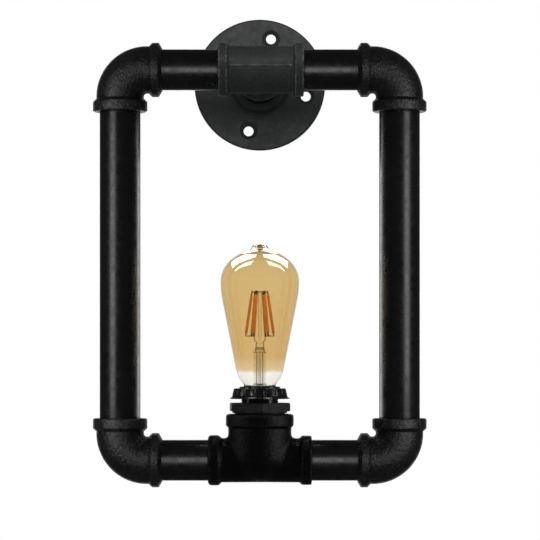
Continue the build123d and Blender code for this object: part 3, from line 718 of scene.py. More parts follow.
def phosphor(name, base):
    """Rubbery orange coating with small grains and darker, uneven patches."""
    material, nodes, shader = new_material(name)
    where = nodes.add("ShaderNodeTexCoord").outputs["Object"]
    grains = nodes.noise(where, 1800.0, 3.0, 0.6)
    patches = nodes.between(nodes.noise(where, 160.0, 3.0, 0.6), 0.38, 0.64)
    tone = nodes.mix(patches, solid(brighter(base, 0.86)), solid(brighter(base, 1.1)))
    return surfaced(material, nodes, shader, tone, nodes.between(grains, 0.3, 0.7, 0.35, 0.6), (grains, 0.4, 0.08))


EFFECTS = {}
FINISH = {}


def mix_finishes(finishes):
    """Makes every effect group and material once."""
    EFFECTS.update(grain=sand_grain(), drift=paint_drift(), edges=edge_wear_and_sheen())
    black_iron, casting = finishes.elbow, finishes.iron
    # In the paints below, the grain's tops are lightened as a painted highlight, and the edges for paint wear and a
    # painted edge highlight.
    FINISH.update(
        pipe=painted("pipe_paint", finishes.pipe, 0.3, 900.0, 0.03, grain_glint=1.4, drift_scale=16.0),
        flange=painted("flange_paint", casting, 0.5, 700.0, 0.1, 0.25, grain_glint=1.3),
        iron=painted("casting_paint", casting, 0.5, 700.0, 0.12, 0.25, grain_glint=1.5, wear_and_sheen=0.8),
        tee=painted("lamp_tee_paint", brighter(black_iron, 0.4), 0.32, 560.0, 0.8, 0.28, wear_and_sheen=0.8),
        elbow=painted("elbow_paint", black_iron, 0.26, 380.0, 1.1, 0.45, grain_glint=2.4, wear_and_sheen=0.6),
        bush=painted("bush_paint", black_iron, 0.34, 800.0, 1.4, grain_glint=4.0, wear_and_sheen=0.9),
        holder=moulded("black_moulding", finishes.holder),
        cap_glass=moulded("black_glass", (0.012, 0.012, 0.013), 0.08),
        cap=bare_metal("pressed_cap", (0.46, 0.45, 0.42), 0.3),
        brass=bare_metal("pressed_brass", (0.72, 0.52, 0.25), 0.26),
        solder=bare_metal("dull_solder", (0.55, 0.55, 0.56), 0.42),
        nickel=bare_metal("nickel_wire", (0.30, 0.18, 0.11), 0.36),
        amber=tinted_glass("amber_glass", finishes.amber, finishes.clear),
        clear=plain_glass("stem_glass", (0.93, 0.92, 0.89)),
        filament=phosphor("filament_coating", finishes.filament),
        tab=bare_metal("filament_tab", (0.035, 0.025, 0.02), 0.45),
        board=soft_plastic("circuit_board", (0.05, 0.2, 0.1), 0.42),
        sleeve=soft_plastic("capacitor_sleeve", (0.04, 0.04, 0.1), 0.3),
        sheath=soft_plastic("white_sheath", (0.75, 0.75, 0.74)),
        live=soft_plastic("brown_insulation", (0.2, 0.08, 0.03)),
        neutral=soft_plastic("blue_insulation", (0.05, 0.15, 0.45)),
        block=soft_plastic("block_nylon", (0.8, 0.8, 0.76), 0.45),
    )


# ---- Wall flange ---------------------------------------------------------------------------------------
def make_flange(sizes, pipe_r):
    """Round plate and boss, turned about Z, with countersunk holes, standing on the wall."""
    rim = sizes.diameter / 2 / MM
    thick = sizes.thickness / MM
    outline = rounded(
        [
            (pipe_r, 0),
            (rim, 0, 0.4),
            (rim, thick, 1.6),
            (25.4, thick, 3.2),
            (23.3, thick + 16, 1.4),
            (pipe_r + 1.6, thick + 16),
            (pipe_r, thick + 14.6),
        ]
    )
    piece = turned("cast_wall_flange", outline, 160)
    hole_r = sizes.screw_hole / 2 / MM
    sink_r = sizes.countersink / 2 / MM
    reach = sizes.screw_circle / 2 / MM
    past = 0.9  # the drill starts this far in front of the plate
    sink = [(0, -1.3), (hole_r, -1.3), (hole_r, thick - (sink_r - hole_r)), (sink_r, thick)]
    sink += [(sink_r + 0.4, thick + past), (0, thick + past)]
    drills = []
    for index in range(sizes.screw_holes):
        angle = sizes.first_angle + index * 2 * pi / sizes.screw_holes
        drill = turned("drill", sink, 47)
        drills.append(place(drill, (reach * cos(angle), reach * sin(angle), 0)))
    combined(piece, joined("drills", *drills), "DIFFERENCE")
    smooth(piece)
    applied(piece, "WEIGHTED_NORMAL", keep_sharp=True, weight=100)
    return place(piece, turn=(90, 0, 0))


# ---- Pipes ---------------------------------------------------------------------------------------------
def make_pipe(name, sizes, low, high):
    """A hollow pipe about Z between two heights, with softened ends."""
    outer = sizes.pipe_diameter / 2 / MM
    inner = outer - sizes.pipe_wall / MM
    outline = [(inner, low, 0.4), (outer, low, 0.8), (outer, high, 0.8), (inner, high, 0.4)]
    return turned(name, rounded(outline, 3))


# ---- Elbows --------------------------------------------------------------------------------------------
def drawn_out(start, way, path):
    """Extrudes the selected ring through (distance, radius) steps. The first step gives where it stands now."""
    here = path[0]
    for spot in path[1:]:
        bpy.ops.mesh.extrude_region_move(TRANSFORM_OT_translate={"value": Vector(way) * (spot[0] - here[0]) * MM})
        scale = spot[1] / here[1]
        middle = Vector(start) * MM + Vector(way) * (spot[0] - path[0][0]) * MM
        bpy.ops.transform.resize(value=(scale, scale, scale), center_override=middle)
        here = spot


def make_elbow(sizes):
    """One elbow with its centre at the origin, its bevelled level arm along +X and its upright arm along +Z."""
    body_r = sizes.elbow_diameter / 2 / MM
    collar_r = sizes.collar_diameter / 2 / MM
    reach = sizes.elbow_reach / MM
    bend = sizes.elbow_bend / MM
    width = sizes.collar_width / MM
    pipe_r = sizes.pipe_diameter / 2 / MM + PIPE_SLIP
    bore = body_r - CORE_WALL
    slope = reach - width - (collar_r - body_r)
    root = [(body_r, bend), (body_r, slope), (collar_r, reach - width, 0.6)]
    socket = [(pipe_r, reach), (pipe_r, bend + 0.2), (bore, bend + 0.2)]
    nose = [(collar_r, reach - sizes.nose_length / MM, 0.6), (collar_r - sizes.nose_depth / MM, reach, 0.3)]
    plain_mouth = [(v.y, v.x) for v in rounded([*root, (collar_r, reach, 1.3), *socket], 4)][:-1]
    nosed_mouth = [(v.y, v.x) for v in rounded([*root, *nose, *socket], 4)][:-1]
    corner = point(bend, 0, bend)

    def ring(radius):
        """Adds a ring round the level arm's axis, where the bend begins."""
        spot = point(bend, 0, 0)
        bpy.ops.mesh.primitive_circle_add(vertices=AROUND, radius=radius * MM, location=spot, rotation=(0, pi / 2, 0))

    select_only()
    ring(body_r)
    piece = named("cast_elbow")
    settle()
    bpy.ops.object.mode_set(mode="EDIT")
    bpy.ops.mesh.select_all(action="SELECT")
    bpy.ops.mesh.spin(steps=44, angle=-pi / 2, center=corner, axis=(0, 1, 0))
    pick(piece, lambda v: abs(v.z - bend) < 0.01 and v.x < bend - 1)
    drawn_out((0, 0, bend), (0, 0, 1), plain_mouth)
    pick(piece, lambda v: abs(v.x - bend) < 0.01 and v.z < bend - 1)
    drawn_out((bend, 0, 0), (1, 0, 0), nosed_mouth)
    bpy.ops.mesh.select_all(action="DESELECT")
    ring(bore)
    bpy.ops.mesh.spin(steps=22, angle=-pi / 2, center=corner, axis=(0, 1, 0))

    def ring_at(v):
        """The open rings at the two sockets' floors."""
        on_x = abs(v.x - bend) < 0.3 and hypot(v.y, v.z) < pipe_r + 0.01
        on_z = abs(v.z - bend) < 0.3 and hypot(v.x, v.y) < pipe_r + 0.01
        return on_x or on_z

    for side in (0, 2):
        pick(piece, lambda v: ring_at(v) and v[side] > bend - 0.3 and v[2 - side] < bend - 1)
        bpy.ops.mesh.bridge_edge_loops()
    face_out()
    bpy.ops.object.mode_set(mode="OBJECT")
    seam = sizes.seam_height / MM

    def seam_at(v):
        """Height of the parting line, which runs round the outside in the plane of the bend."""
        if v.x > bend:
            out = hypot(v.y, v.z)
        elif v.z > bend:
            out = hypot(v.x, v.y)
        else:
            out = hypot(hypot(v.x - bend, v.z - bend) - bend, v.y)
        face = max(v.x, v.z) > reach - 0.8
        return seam if out > body_r - 0.4 and abs(v.y) < 0.9 and not face else 0.0

    seamed(piece, seam_at)
    return piece


# ---- Tees ----------------------------------------------------------------------------------------------
def arm_outline(low, body_r, collar_r, reach, width, soft, crown=0.6, slope=1.0):
    """Right half of a fitting's arm: plain body, sloped shoulder, collar and face, closed on the axis."""
    return [
        (0, low),
        (body_r, low),
        (body_r, reach - width - (collar_r - body_r) * slope),
        (collar_r, reach - width, crown),
        (collar_r, reach, soft),
        (0, reach),
    ]


def turned_run(name, left, right):
    """A fitting's run along X, from the outlines of its two arms."""
    mirror = [(spot[0], -spot[1], *spot[2:]) for spot in reversed(left[1:])]
    return place(turned(name, rounded([*mirror, *right[2:]])), turn=(0, 90, 0))


def cored(run, pipe_r, bore, reach):
    """Cuts the sockets and the bore of a fitting's run."""
    socket = reach - SOCKET_DEPTH
    core = [(0, -reach - 1), (pipe_r, -reach - 1), (pipe_r, -socket), (bore, -socket)]
    core += [(bore, socket), (pipe_r, socket), (pipe_r, reach + 1), (0, reach + 1)]
    combined(run, place(turned("core", core, 64), turn=(0, 90, 0)), "DIFFERENCE")


def make_wall_tee(sizes, finishes):
    """Tee with its run along X and its branch along +Y, its centre at the origin."""
    collar_r = sizes.collar_diameter / 2 / MM
    width = sizes.collar_width / MM
    body_r, branch_r, reach = 19.4, 18.8, WALL_TEE_REACH
    pipe_r = sizes.pipe_diameter / 2 / MM + TEE_SLIP
    left, right = (arm_outline(0, body_r, collar_r, end, width - 1.0, 0.9, 0.4, 0.6) for end in (reach - 2.0, reach))
    run = turned_run("cast_wall_tee", left, right)
    branch = turned("branch", rounded(arm_outline(0, branch_r, collar_r, reach, width, 1.3)))
    combined(run, place(branch, turn=(-90, 0, 0)), "UNION")
    cored(run, pipe_r, body_r - CORE_WALL, reach)
    bore, socket = branch_r - CORE_WALL, reach - SOCKET_DEPTH
    core = [(0, 0), (bore, 0), (bore, socket), (pipe_r, socket), (pipe_r, reach + 1), (0, reach + 1)]
    combined(run, place(turned("branch_core", core, 60), turn=(-90, 0, 0)), "DIFFERENCE")

    def near_crease(v):
        """Strongest where the run and the branch meet."""
        run_out = hypot(v.y, v.z) - body_r
        branch_out = hypot(v.x, v.z) - branch_r
        away = max(abs(run_out), abs(branch_out))
        return max(0.0, 1 - away / 3.2) if v.y > 0 and min(run_out, branch_out) > -1.2 else 0.0

    filleted(run, near_crease, 30)
    seam = sizes.seam_height / MM

    def seam_at(v):
        """Height of the parting line, level round the outside."""
        out = max(hypot(v.y, v.z) - body_r, 0 if v.y < 2 else hypot(v.x, v.z) - branch_r)
        outside = hypot(v.y, v.z) > body_r - 0.4 and (v.y < 0 or out >= -0.4)
        on_collar = abs(v.x) > reach - width - 1.8 or v.y > reach - width - 1.8
        if not outside or on_collar:
            return 0.0
        ramp = 0.7  # length over which the ridge and the groove rise
        ridge = min(1.0, max(0.0, (2.1 - abs(v.z - 0.9)) / ramp))
        groove = max(0.0, 1 - abs(v.z + 0.1) / ramp)
        return seam * (ridge - 1.6 * groove)

    seamed(run, seam_at)
    grained(run, finishes)
    smooth(run, radians(60))
    return run


def make_lamp_tee(sizes, finishes):
    """Reducing tee with its run along X and its wide branch up Z, its centre at the origin."""
    run_r, run_collar_r, reach, width = 18.1, 20.2, LAMP_TEE_REACH, sizes.collar_width / MM
    branch_r, mouth_r, branch_reach, mouth_width = 25.9, 27.8, 38.0, 9.4
    bowl_top, bowl_low = 4.0, -18.0
    left = arm_outline(0, run_r, run_collar_r + 0.4, reach, width + 0.8, 3.0, 2.5)
    right = arm_outline(0, run_r, run_collar_r, reach, width, 1.3)
    tee = turned_run("cast_lamp_tee", left, right)
    bowl = [(0, bowl_low)]
    for step in range(1, 13):
        angle = step * pi / 24
        bowl.append((branch_r * sin(angle), bowl_top - (bowl_top - bowl_low) * cos(angle)))
    top = arm_outline(bowl_top + 1, branch_r, mouth_r, branch_reach, mouth_width, 2.4, 1.2)[1:]
    combined(tee, turned("branch", [*bowl, *rounded(top)]), "UNION")
    cored(tee, sizes.pipe_diameter / 2 / MM + TEE_SLIP, run_r - CORE_WALL, reach)
    core = [(0, 0), (20.0, 0), (20.0, 22.0), (21.05, 22.0), (21.05, branch_reach + 1), (0, branch_reach + 1)]
    combined(tee, turned("branch_core", core, 60), "DIFFERENCE")

    def near_crease(v):
        """Strongest where the run and the branch meet."""
        run_out = hypot(v.y, v.z) - run_r
        below = min(v.z - bowl_top, 0) / (bowl_top - bowl_low) * branch_r
        branch_out = sqrt(v.x**2 + v.y**2 + below**2) - branch_r
        away = max(abs(run_out), abs(branch_out))
        if min(run_out, branch_out) < -1.5 or v.z > branch_reach - mouth_width - 3:
            return 0.0
        return min(1.0, max(0.0, 1.35 * (1 - away / 6.5)))

    filleted(tee, near_crease, 90)
    grained(tee, finishes)
    smooth(tee, radians(60))
    return tee


# ---- Hexagon bush and lamp holder ----------------------------------------------------------------------
def make_hex_bush():
    """Reducing bush in the lamp's own frame: hexagon, shoulder and threaded plug."""
    flats, low, high, neck_r = 48.0, 40.4, 47.0, NECK_BORE
    middle = (0, 0, (low + high) / 2)
    corner_r = flats / sqrt(3)
    select_only()
    height = (high - low) * MM
    bpy.ops.mesh.primitive_cylinder_add(vertices=6, radius=corner_r * MM, depth=height, location=point(*middle))
    piece = place(named("hexagon_bush"), middle, (0, 0, 3.7))
    outer_r = corner_r + 0.1
    crowned = [(0, low), (corner_r - 1.2, low), (outer_r, low + 0.7), (outer_r, high - 1.1), (corner_r - 2.4, high)]
    combined(piece, turned("crown", [*crowned, (0, high)], 180), "INTERSECT")
    bore = [(0, low - 1), (neck_r, low - 1), (neck_r, high + 1), (0, high + 1)]
    combined(piece, turned("bore", bore, 72), "DIFFERENCE")
    limits = {"limit_method": "ANGLE", "angle_limit": radians(28), "use_clamp_overlap": True}
    applied(piece, "BEVEL", width=0.35 * MM, segments=3, **limits)
    smooth(piece, radians(30))
    plug_line = [(neck_r, 25.0), (20.2, 25.0), (20.2, 38.6), (22.5, 38.9, 0.3), (22.5, 40.6), (neck_r, 40.6)]
    plug = turned("plug", rounded(plug_line))
    return joined("hexagon_bush", piece, plug, thread("ridge", 20.0, 20.95, 30.0, 2.3, 4))


def make_holder_skirt():
    """Threaded skirt of the lamp holder in the lamp's own frame, hollow, with the inside lip at the bottom."""
    outline = [
        (12.0, 25.0, 0.3),
        (14.7, 25.0, 0.4),
        (14.7, 59.5, 0.4),
        (14.2, 59.5, 0.15),
        (14.2, 28.0),
        (12.0, 28.0, 0.3),
    ]
    skirt = turned("threaded_holder_neck", rounded(outline, 3))
    return joined("threaded_holder_neck", skirt, thread("ridge", 14.5, 15.3, 34.0, 1.9, 13, 0.42))


def make_shade_ring(sizes):
    """Fluted ring in the lamp's own frame: inner collar, lobed band and a thin flared edge."""
    outline = [
        (15.6, 0),
        (16.8, 0),
        (16.8, 6.6, 0.4),
        (19.0, 6.6, 0.4),
        (20.4, 0.6, 0.5),
        (24.55, 0.0, 0.1),
        (24.7, 0.45, 0.15),
        (22.75, 1.9, 2.6),
        (22.3, 4.2),
        (21.2, 8.6, 0.9),
        (16.9, 8.6, 0.3),
        (16.8, 9.9, 0.35),
        (15.6, 9.9, 0.3),
    ]
    ring = turned("fluted_shade_ring", [(p.x, p.y + RING_FOOT) for p in rounded(outline)], 160)
    groove = turned("groove", rounded([(0, 2.6), (2.2, 2.6, 2.0), (2.2, 14), (0, 14)], 6), 36)
    place(groove, turn=(0, -11, 0))
    place(groove, (24.7, 0, RING_FOOT))
    for index in range(sizes.flute_count):
        tool = copied(groove, "groove_cut")
        place(tool, turn=(0, 0, (index + 0.5) * 360 / sizes.flute_count))
        combined(ring, tool, "DIFFERENCE")
    bpy.data.objects.remove(groove)
    smooth(ring, radians(38))
    return ring


# ---- Lamp ----------------------------------------------------------------------------------------------
def make_lamp_cap():
    """Thin screw cap in the lamp's own frame, its rolled thread standing on a plain barrel."""
    outline = [
        (5.9, 36.7),
        (12.2, 40.3, 0.6),
        (12.2, 57.6, 0.5),
        (13.3, 58.6, 0.5),
        (13.3, CAP_RIM, 0.3),
        (12.9, CAP_RIM),
        (12.9, 58.8),
        (11.8, 57.8),
        (11.8, 40.6),
        (5.7, 37.1),
    ]
    cap = turned("screw_cap", rounded(outline, 4))
    return joined("screw_cap", cap, rolled_thread("cap_thread", 12.0, 13.05, 41.6, 3.6288, 4))


def bulb_line(sizes, inset, top):
    """The teardrop from the neck up to the axis, shrunk by inset, with a pip on top if it is asked for."""
    rim = CAP_RIM
    neck = Vector((12.6 - inset, rim))
    foot = Vector((19.6 - inset, rim + 13.0))
    shoulder = Vector((30.8 - inset, rim + 70.0))
    widest = Vector((sizes.bulb_diameter / 2 / MM - inset, rim + 84.8))
    crown = rim + sizes.bulb_height / MM - inset
    rise = crown - widest.y
    side_r = 0.87 * min(widest.x, rise)
    top_r = ((widest.x - side_r) ** 2 + rise**2 - side_r**2) / (2 * (rise - side_r))
    lean = atan2(top_r - rise, widest.x - side_r)
    turn = Vector((widest.x - side_r + side_r * cos(lean), widest.y + side_r * sin(lean)))
    line = [Vector((neck.x, rim - 2.4)), *reversed([foot, *arc_on(foot, foot - shoulder, neck, 10)])]
    rising = [foot.lerp(shoulder, step / 12) for step in range(1, 13)]
    line += rising
    line += list(reversed(arc_on(widest, (0, -1), shoulder, 8)))[1:]
    line += [widest, *arc_on(widest, (0, 1), turn, 16)]
    crown_arc = arc_on(turn, Vector((-sin(lean), cos(lean))), (0, crown), 18)
    if not top:
        return line + crown_arc
    pip_r = 8.6
    line += [p for p in crown_arc if p.x > pip_r]
    pip = rounded([(pip_r, crown - 1.1), (7.1, crown + 0.4, 2.4), (5.4, crown + 3.5, 2.2), (0, crown + 4.0)], 6)
    return line + pip


def make_bulb(sizes):
    """Blown glass in the lamp's own frame: outer wall, then the inner wall back down."""
    outer = bulb_line(sizes, 0, True)
    inner = bulb_line(sizes, sizes.glass_wall / MM, False)
    glass = turned("amber_bulb", [*outer, *reversed(inner)], 128)
    smooth(glass, radians(60))
    return glass


def make_stem():
    """Clear glass stem in the lamp's own frame: flare, tube, pinch, exhaust tube, rod and button."""
    rim = CAP_RIM
    outer = [
        (11.7, rim - 2.4, 0.3),
        (11.7, rim - 1.6, 0.3),
        (5.3, rim + 0.9, 1.5),
        (5.3, rim + 28.0, 1.5),
        (3.7, rim + 31.5, 0.8),
        (3.7, rim + 34.4, 0.5),
        (0, rim + 34.5),
    ]
    inner = [
        (0, rim + 28.0),
        (4.5, rim + 27.4, 1.2),
        (4.5, rim + 0.5, 1.4),
        (10.9, rim - 2.0, 0.3),
        (10.9, rim - 2.4),
    ]
    tube = turned("clear_stem", rounded([*outer, *inner], 4), 64)
    exhaust_line = [(0.8, rim + 1.5, 0.2), (1.4, rim + 1.5, 0.2), (1.4, rim + 28.6), (0.8, rim + 28.6)]
    exhaust = turned("exhaust", rounded(exhaust_line, 3), 32)
    rod_line = [(0, rim + 34.2), (1.5, rim + 34.2), (1.5, rim + 75.6)]
    button = [(2.2, rim + 76.0, 0.6), (2.2, rim + 77.4, 0.7), (0, rim + 77.4)]
    rod = turned("rod", rounded([*rod_line, *button], 4), 40)
    return joined("clear_stem", tube, exhaust, rod)


def round_axis(radius, degrees_round, height):
    """A place about Z, in millimetres, its angle in degrees."""
    return Vector((radius * cos(radians(degrees_round)), radius * sin(radians(degrees_round)), height))


def filament_ends(index, count):
    """Bottom and top of one filament in the lamp's own frame."""
    angle = LAMP_TURN + index * 360 / count
    return tuple(round_axis(radius, angle, height) for radius, height in (FILAMENT_FOOT, FILAMENT_HEAD))


def make_filament(index, sizes):
    """One coated stick between two thin tails, with a dark crimped tab at each end."""
    low, high = filament_ends(index, sizes.filament_count)
    along = (high - low).normalized()
    name = f"filament_stick_{index + 1}"
    radius = sizes.filament_diameter / 2 / MM
    stick = bar(name, low + along * 2.2, high - along * 2.2, radius)
    tail = bar(name + "_tail", low + along * 0.35, high - along * 0.4, WIRE_R, 12)
    tabs = []
    for place_of_tab, size in ((low + along * 0.9, (1.5, 0.8, 2.6)), (high - along * 0.7, (1.7, 0.9, 3.6))):
        select_only()
        bpy.ops.mesh.primitive_cube_add(size=MM, location=(0, 0, 0))
        tab = named(name + "_tab")
        tab.scale = size
        settle()
        applied(tab, "BEVEL", width=0.12 * MM, segments=2)
        tabs.append(aimed(tab, along, place_of_tab))
    metal = joined(name + "_ends", tail, *tabs)
    return stick, metal


def make_crown_wire():
    """Top ring wire with three spokes to the stem's button, in the lamp's own frame."""
    radius, height = FILAMENT_HEAD
    select_only()
    radii = {"major_radius": radius * MM, "minor_radius": WIRE_R * MM}
    bpy.ops.mesh.primitive_torus_add(**radii, major_segments=72, minor_segments=14, location=point(0, 0, height))
    ring = named("crown_wire")
    settle()
    smooth(ring)
    spokes = []
    for index in range(3):
        angle = LAMP_TURN + (index + 0.25) * 120
        spokes.append(bar("spoke", round_axis(2.0, angle, height), round_axis(radius, angle, height), WIRE_R, 14))
    return joined("crown_wire", ring, *spokes)


def make_link(name, side):
    """Bottom wire that joins three filaments: an arc about the lamp's axis."""
    radius, height = FILAMENT_FOOT
    middle = LAMP_TURN + (0 if side > 0 else 180)
    return wire(name, [round_axis(radius, middle + step * 15, height) for step in range(-4, 5)], LEAD_R)


def make_lead(name, side):
    """Kinked lead from the driver up the stem and out to the bottom link."""
    turn = radians(LAMP_TURN)
    kinks = [(2.5, 53.0), (2.5, 80.0), (2.5, 95.6), (3.0, 97.2), (4.5, 99.0), (4.2, 100.4), (5.2, 101.6)]
    spots = [*kinks, (8.0, 101.85), (11.25, 101.9)]
    return wire(name, [(side * x * cos(turn), side * x * sin(turn), z) for x, z in spots], LEAD_R)


# ---- Operators -----------------------------------------------------------------------------------------
class Step(bpy.types.Operator):
    """Shared ground of the building steps."""

    bl_options = {"REGISTER"}

    def lamp_place(self, context):
        """Where the lamp's own frame stands: on the bottom pipe's axis."""
        sizes = context.scene.pipe_light_frame
        return (0, -sizes.standoff / MM, -sizes.frame_height / MM)


class PIPELIGHT_OT_stage(Step):
    """Set up the camera, the surroundings and the floor"""

    bl_idname = "pipelight.stage"
    bl_label = "Studio"

    def execute(self, context):
        studio = context.scene.pipe_light_studio
        sizes = context.scene.pipe_light_frame
        camera_data = bpy.data.cameras.new("camera")
        camera_data.lens = studio.lens
        camera_data.sensor_width = 36
        camera_data.shift_x, camera_data.shift_y = CAMERA_SHIFT
        camera = bpy.data.objects.new("camera", camera_data)
        camera.location = (0, -sizes.standoff - studio.camera_distance, -studio.camera_drop)
        camera.rotation_euler = (pi / 2, 0, 0)
        context.collection.objects.link(camera)
        context.scene.camera = camera
        self.surround(context, studio)
        self.floor(context, studio)
        context.scene.view_settings.view_transform = "Standard"
        return {"FINISHED"}

    def surround(self, context, studio):
        """White to the camera and through glass, dimmer light on the object, and a dark room behind the camera."""
        world = bpy.data.worlds.new("studio")
        context.scene.world = world
        world.use_nodes = True
        nodes = Nodes(world.node_tree)
        background = world.node_tree.nodes["Background"]
        rays = nodes.add("ShaderNodeLightPath")
        way = nodes.add("ShaderNodeTexCoord").outputs["Generated"]
        depth = nodes.add("ShaderNodeSeparateXYZ", {"Vector": way}).outputs["Y"]
        mirrored = nodes.between(depth, 0.9, 0.99, studio.front_dark, 1.0)
        seen = nodes.math("MAXIMUM", rays.outputs["Is Camera Ray"], rays.outputs["Is Transmission Ray"])
        glossy = nodes.math("MULTIPLY", rays.outputs["Is Glossy Ray"], mirrored)
        shown = nodes.math("MAXIMUM", seen, glossy)
        plain = nodes.math("SUBTRACT", 1.0, nodes.math("MAXIMUM", seen, rays.outputs["Is Glossy Ray"]))
        strength = nodes.math("ADD", shown, nodes.math("MULTIPLY", plain, studio.ambient))
        nodes.feed(background.inputs["Strength"], strength)
        background.inputs["Color"].default_value = (1, 1, 1, 1)

    def floor(self, context, studio):
        """A pale floor below the light, just outside the camera's view."""
        select_only()
        bpy.ops.mesh.primitive_plane_add(size=1.6, location=(0, 0, -studio.floor_drop))
        floor = named("floor")
        settle()
        material, nodes, shader = new_material("floor_paper")
        where = nodes.add("ShaderNodeTexCoord").outputs["Object"]
        tooth = nodes.noise(where, 400.0, 3.0, 0.6)
        tone = nodes.mix(tooth, (0.86, 0.86, 0.86, 1), (0.9, 0.9, 0.9, 1))
        nodes.feed(shader.inputs["Base Color"], tone)
        shader.inputs["Roughness"].default_value = 0.9
        shader.inputs["Specular IOR Level"].default_value = 0.1
        floor.data.materials.append(material)
        floor.visible_glossy = False


class PIPELIGHT_OT_lamps(Step):
    """Hang the soft boxes, each of which lights only some of the pieces"""

    bl_idname = "pipelight.lamps"
    bl_label = "Studio lamps"

    def execute(self, context):
        studio = context.scene.pipe_light_studio
        sizes = context.scene.pipe_light_frame
        plane, low = -sizes.standoff, -sizes.frame_height
        window, front, iron, share = studio.window_watts, studio.front_watts, studio.iron_watts, studio.side_watts
        bulb, crown = ["amber_bulb"], Vector((0, plane, -0.165))
        for side, word in ((-1, "left"), (1, "right")):
            self.soft_box("bulb_window", (1.3, 1.05), window, crown, (0.6 * side, 0.33, 1.03), bulb)
            upright = Vector((side * sizes.frame_width / 2, plane, low / 2))
            pieces = [f"{word}_black_upright", f"top_{word}_cast_elbow", f"bottom_{word}_cast_elbow"]
            self.soft_box("strip", (0.6, 1.0), studio.strip_watts, upright, (0.77 * side, -0.92, 0.06), pieces)
            self.soft_box("edge_box", (0.3, 1.0), studio.edge_watts, upright, (-0.42 * side, 0.36, 0), pieces[:1])
        self.soft_box("crown_box", (0.5, 0.8), window / 7, crown, (0, 0.93, 0.84), bulb)
        for row, height, lift in (("top", 0, -0.16), ("bottom", low, 0.09)):
            target = Vector((0, plane, height))
            kinds = (("front_box", (1.0, 0.6), front, "black_pipe"), ("elbow_box", (0.5, 0.3), front / 3, "cast_elbow"))
            for name, size, watts, kind in kinds:
                pieces = [f"{row}_{word}_{kind}" for word in ("left", "right")]
                self.soft_box(name, size, watts, target, (0, -1.4, lift), pieces)
        tee, lamp = Vector((0, plane, 0)), Vector((0, plane, low + 0.03))
        self.soft_box("flange_box", (0.9, 0.6), iron, Vector((0, 0, 0)), (0, -1.3, 0.27), ["cast_wall_flange"])
        self.soft_box("tee_box", (0.9, 0.5), iron / 2, tee, (0, -0.9, 0.75), ["cast_wall_tee"])
        bush, ring = "hexagon_bush", "fluted_shade_ring"
        holder = ["cast_lamp_tee", bush, "threaded_holder_neck", ring]
        self.soft_box("right_box", (0.35, 0.7), share, lamp, (0.94, -0.34, 0.15), holder)
        self.soft_box("left_box", (0.35, 0.7), share / 2, lamp, (-1.0, -0.07, 0.15), holder)
        self.soft_box("bush_box", (0.3, 0.3), share / 3, lamp, (0.87, -0.5, 0.04), [bush])
        self.soft_box("bush_box", (0.3, 0.3), share / 9, lamp, (-0.87, -0.5, 0.04), [bush])
        self.soft_box("ring_box", (0.08, 0.5), share / 2, lamp, (-0.55, -0.75, 0.2), [ring])
        return {"FINISHED"}

    def soft_box(self, name, size, watts, target, away, pieces):
        """One rectangular lamp that faces a target from some way off, lights just these pieces and isn't seen."""
        data = bpy.data.lights.new(name, "AREA")
        data.shape = "RECTANGLE"
        data.size, data.size_y = size
        data.energy = watts
        lamp = bpy.data.objects.new(name, data)
        bpy.context.collection.objects.link(lamp)
        lamp.location = target + Vector(away)
        lamp.rotation_euler = (-Vector(away)).to_track_quat("-Z", "Y").to_euler()
        lamp.visible_camera = lamp.visible_transmission = False
        lit = bpy.data.collections.new(name + "_lit")
        for piece in pieces:
            lit.objects.link(bpy.data.objects[piece])
        lamp.light_linking.receiver_collection = lit


class PIPELIGHT_OT_finishes(Step):
    """Make the paints, glass and metals"""

    bl_idname = "pipelight.finishes"
    bl_label = "Finishes"

    def execute(self, context):
        mix_finishes(context.scene.pipe_light_finishes)
        return {"FINISHED"}


class PIPELIGHT_OT_flange(Step):
    """Turn the wall flange and drill its countersunk holes"""

    bl_idname = "pipelight.flange"
    bl_label = "Wall flange"

    def execute(self, context):
        scene = context.scene
        piece = make_flange(scene.pipe_light_flange, scene.pipe_light_frame.pipe_diameter / 2 / MM + PIPE_SLIP)
        finished(piece, "wall_mount", "cast_iron", FINISH["flange"], "wall_flange")
        return {"FINISHED"}


class PIPELIGHT_OT_pipes(Step):
    """Turn the nipple, the four level pipes and the two uprights"""

    bl_idname = "pipelight.pipes"
    bl_label = "Pipes"

    def execute(self, context):
        sizes = context.scene.pipe_light_frame
        depth = -sizes.standoff / MM
        drop = -sizes.frame_height / MM
        side_x = sizes.frame_width / 2 / MM
        fit = sizes.engagement / MM
        outer_end = side_x - sizes.elbow_reach / MM + fit
        nipple = make_pipe("wall_pipe_nipple", sizes, 2.0, -depth - WALL_TEE_REACH + fit)
        finished(place(nipple, turn=(90, 0, 0)), "wall_mount", "pipe_steel", FINISH["pipe"], "wall_nipple")
        for side, word in ((-1, "left"), (1, "right")):
            for row, height, tee_reach in (("top", 0.0, WALL_TEE_REACH), ("bottom", drop, LAMP_TEE_REACH)):
                pipe = make_pipe(f"{row}_{word}_black_pipe", sizes, tee_reach - fit, outer_end)
                place(pipe, (0, depth, height), (0, 90 * side, 0))
                finished(pipe, "pipe_frame", "pipe_steel", FINISH["pipe"], f"{row}_{word}_pipe")
            half = -drop / 2 - sizes.elbow_reach / MM + fit
            upright = place(make_pipe(f"{word}_black_upright", sizes, -half, half), (side * side_x, depth, drop / 2))
            finished(upright, "pipe_frame", "pipe_steel", FINISH["pipe"], f"{word}_upright_pipe")
        return {"FINISHED"}


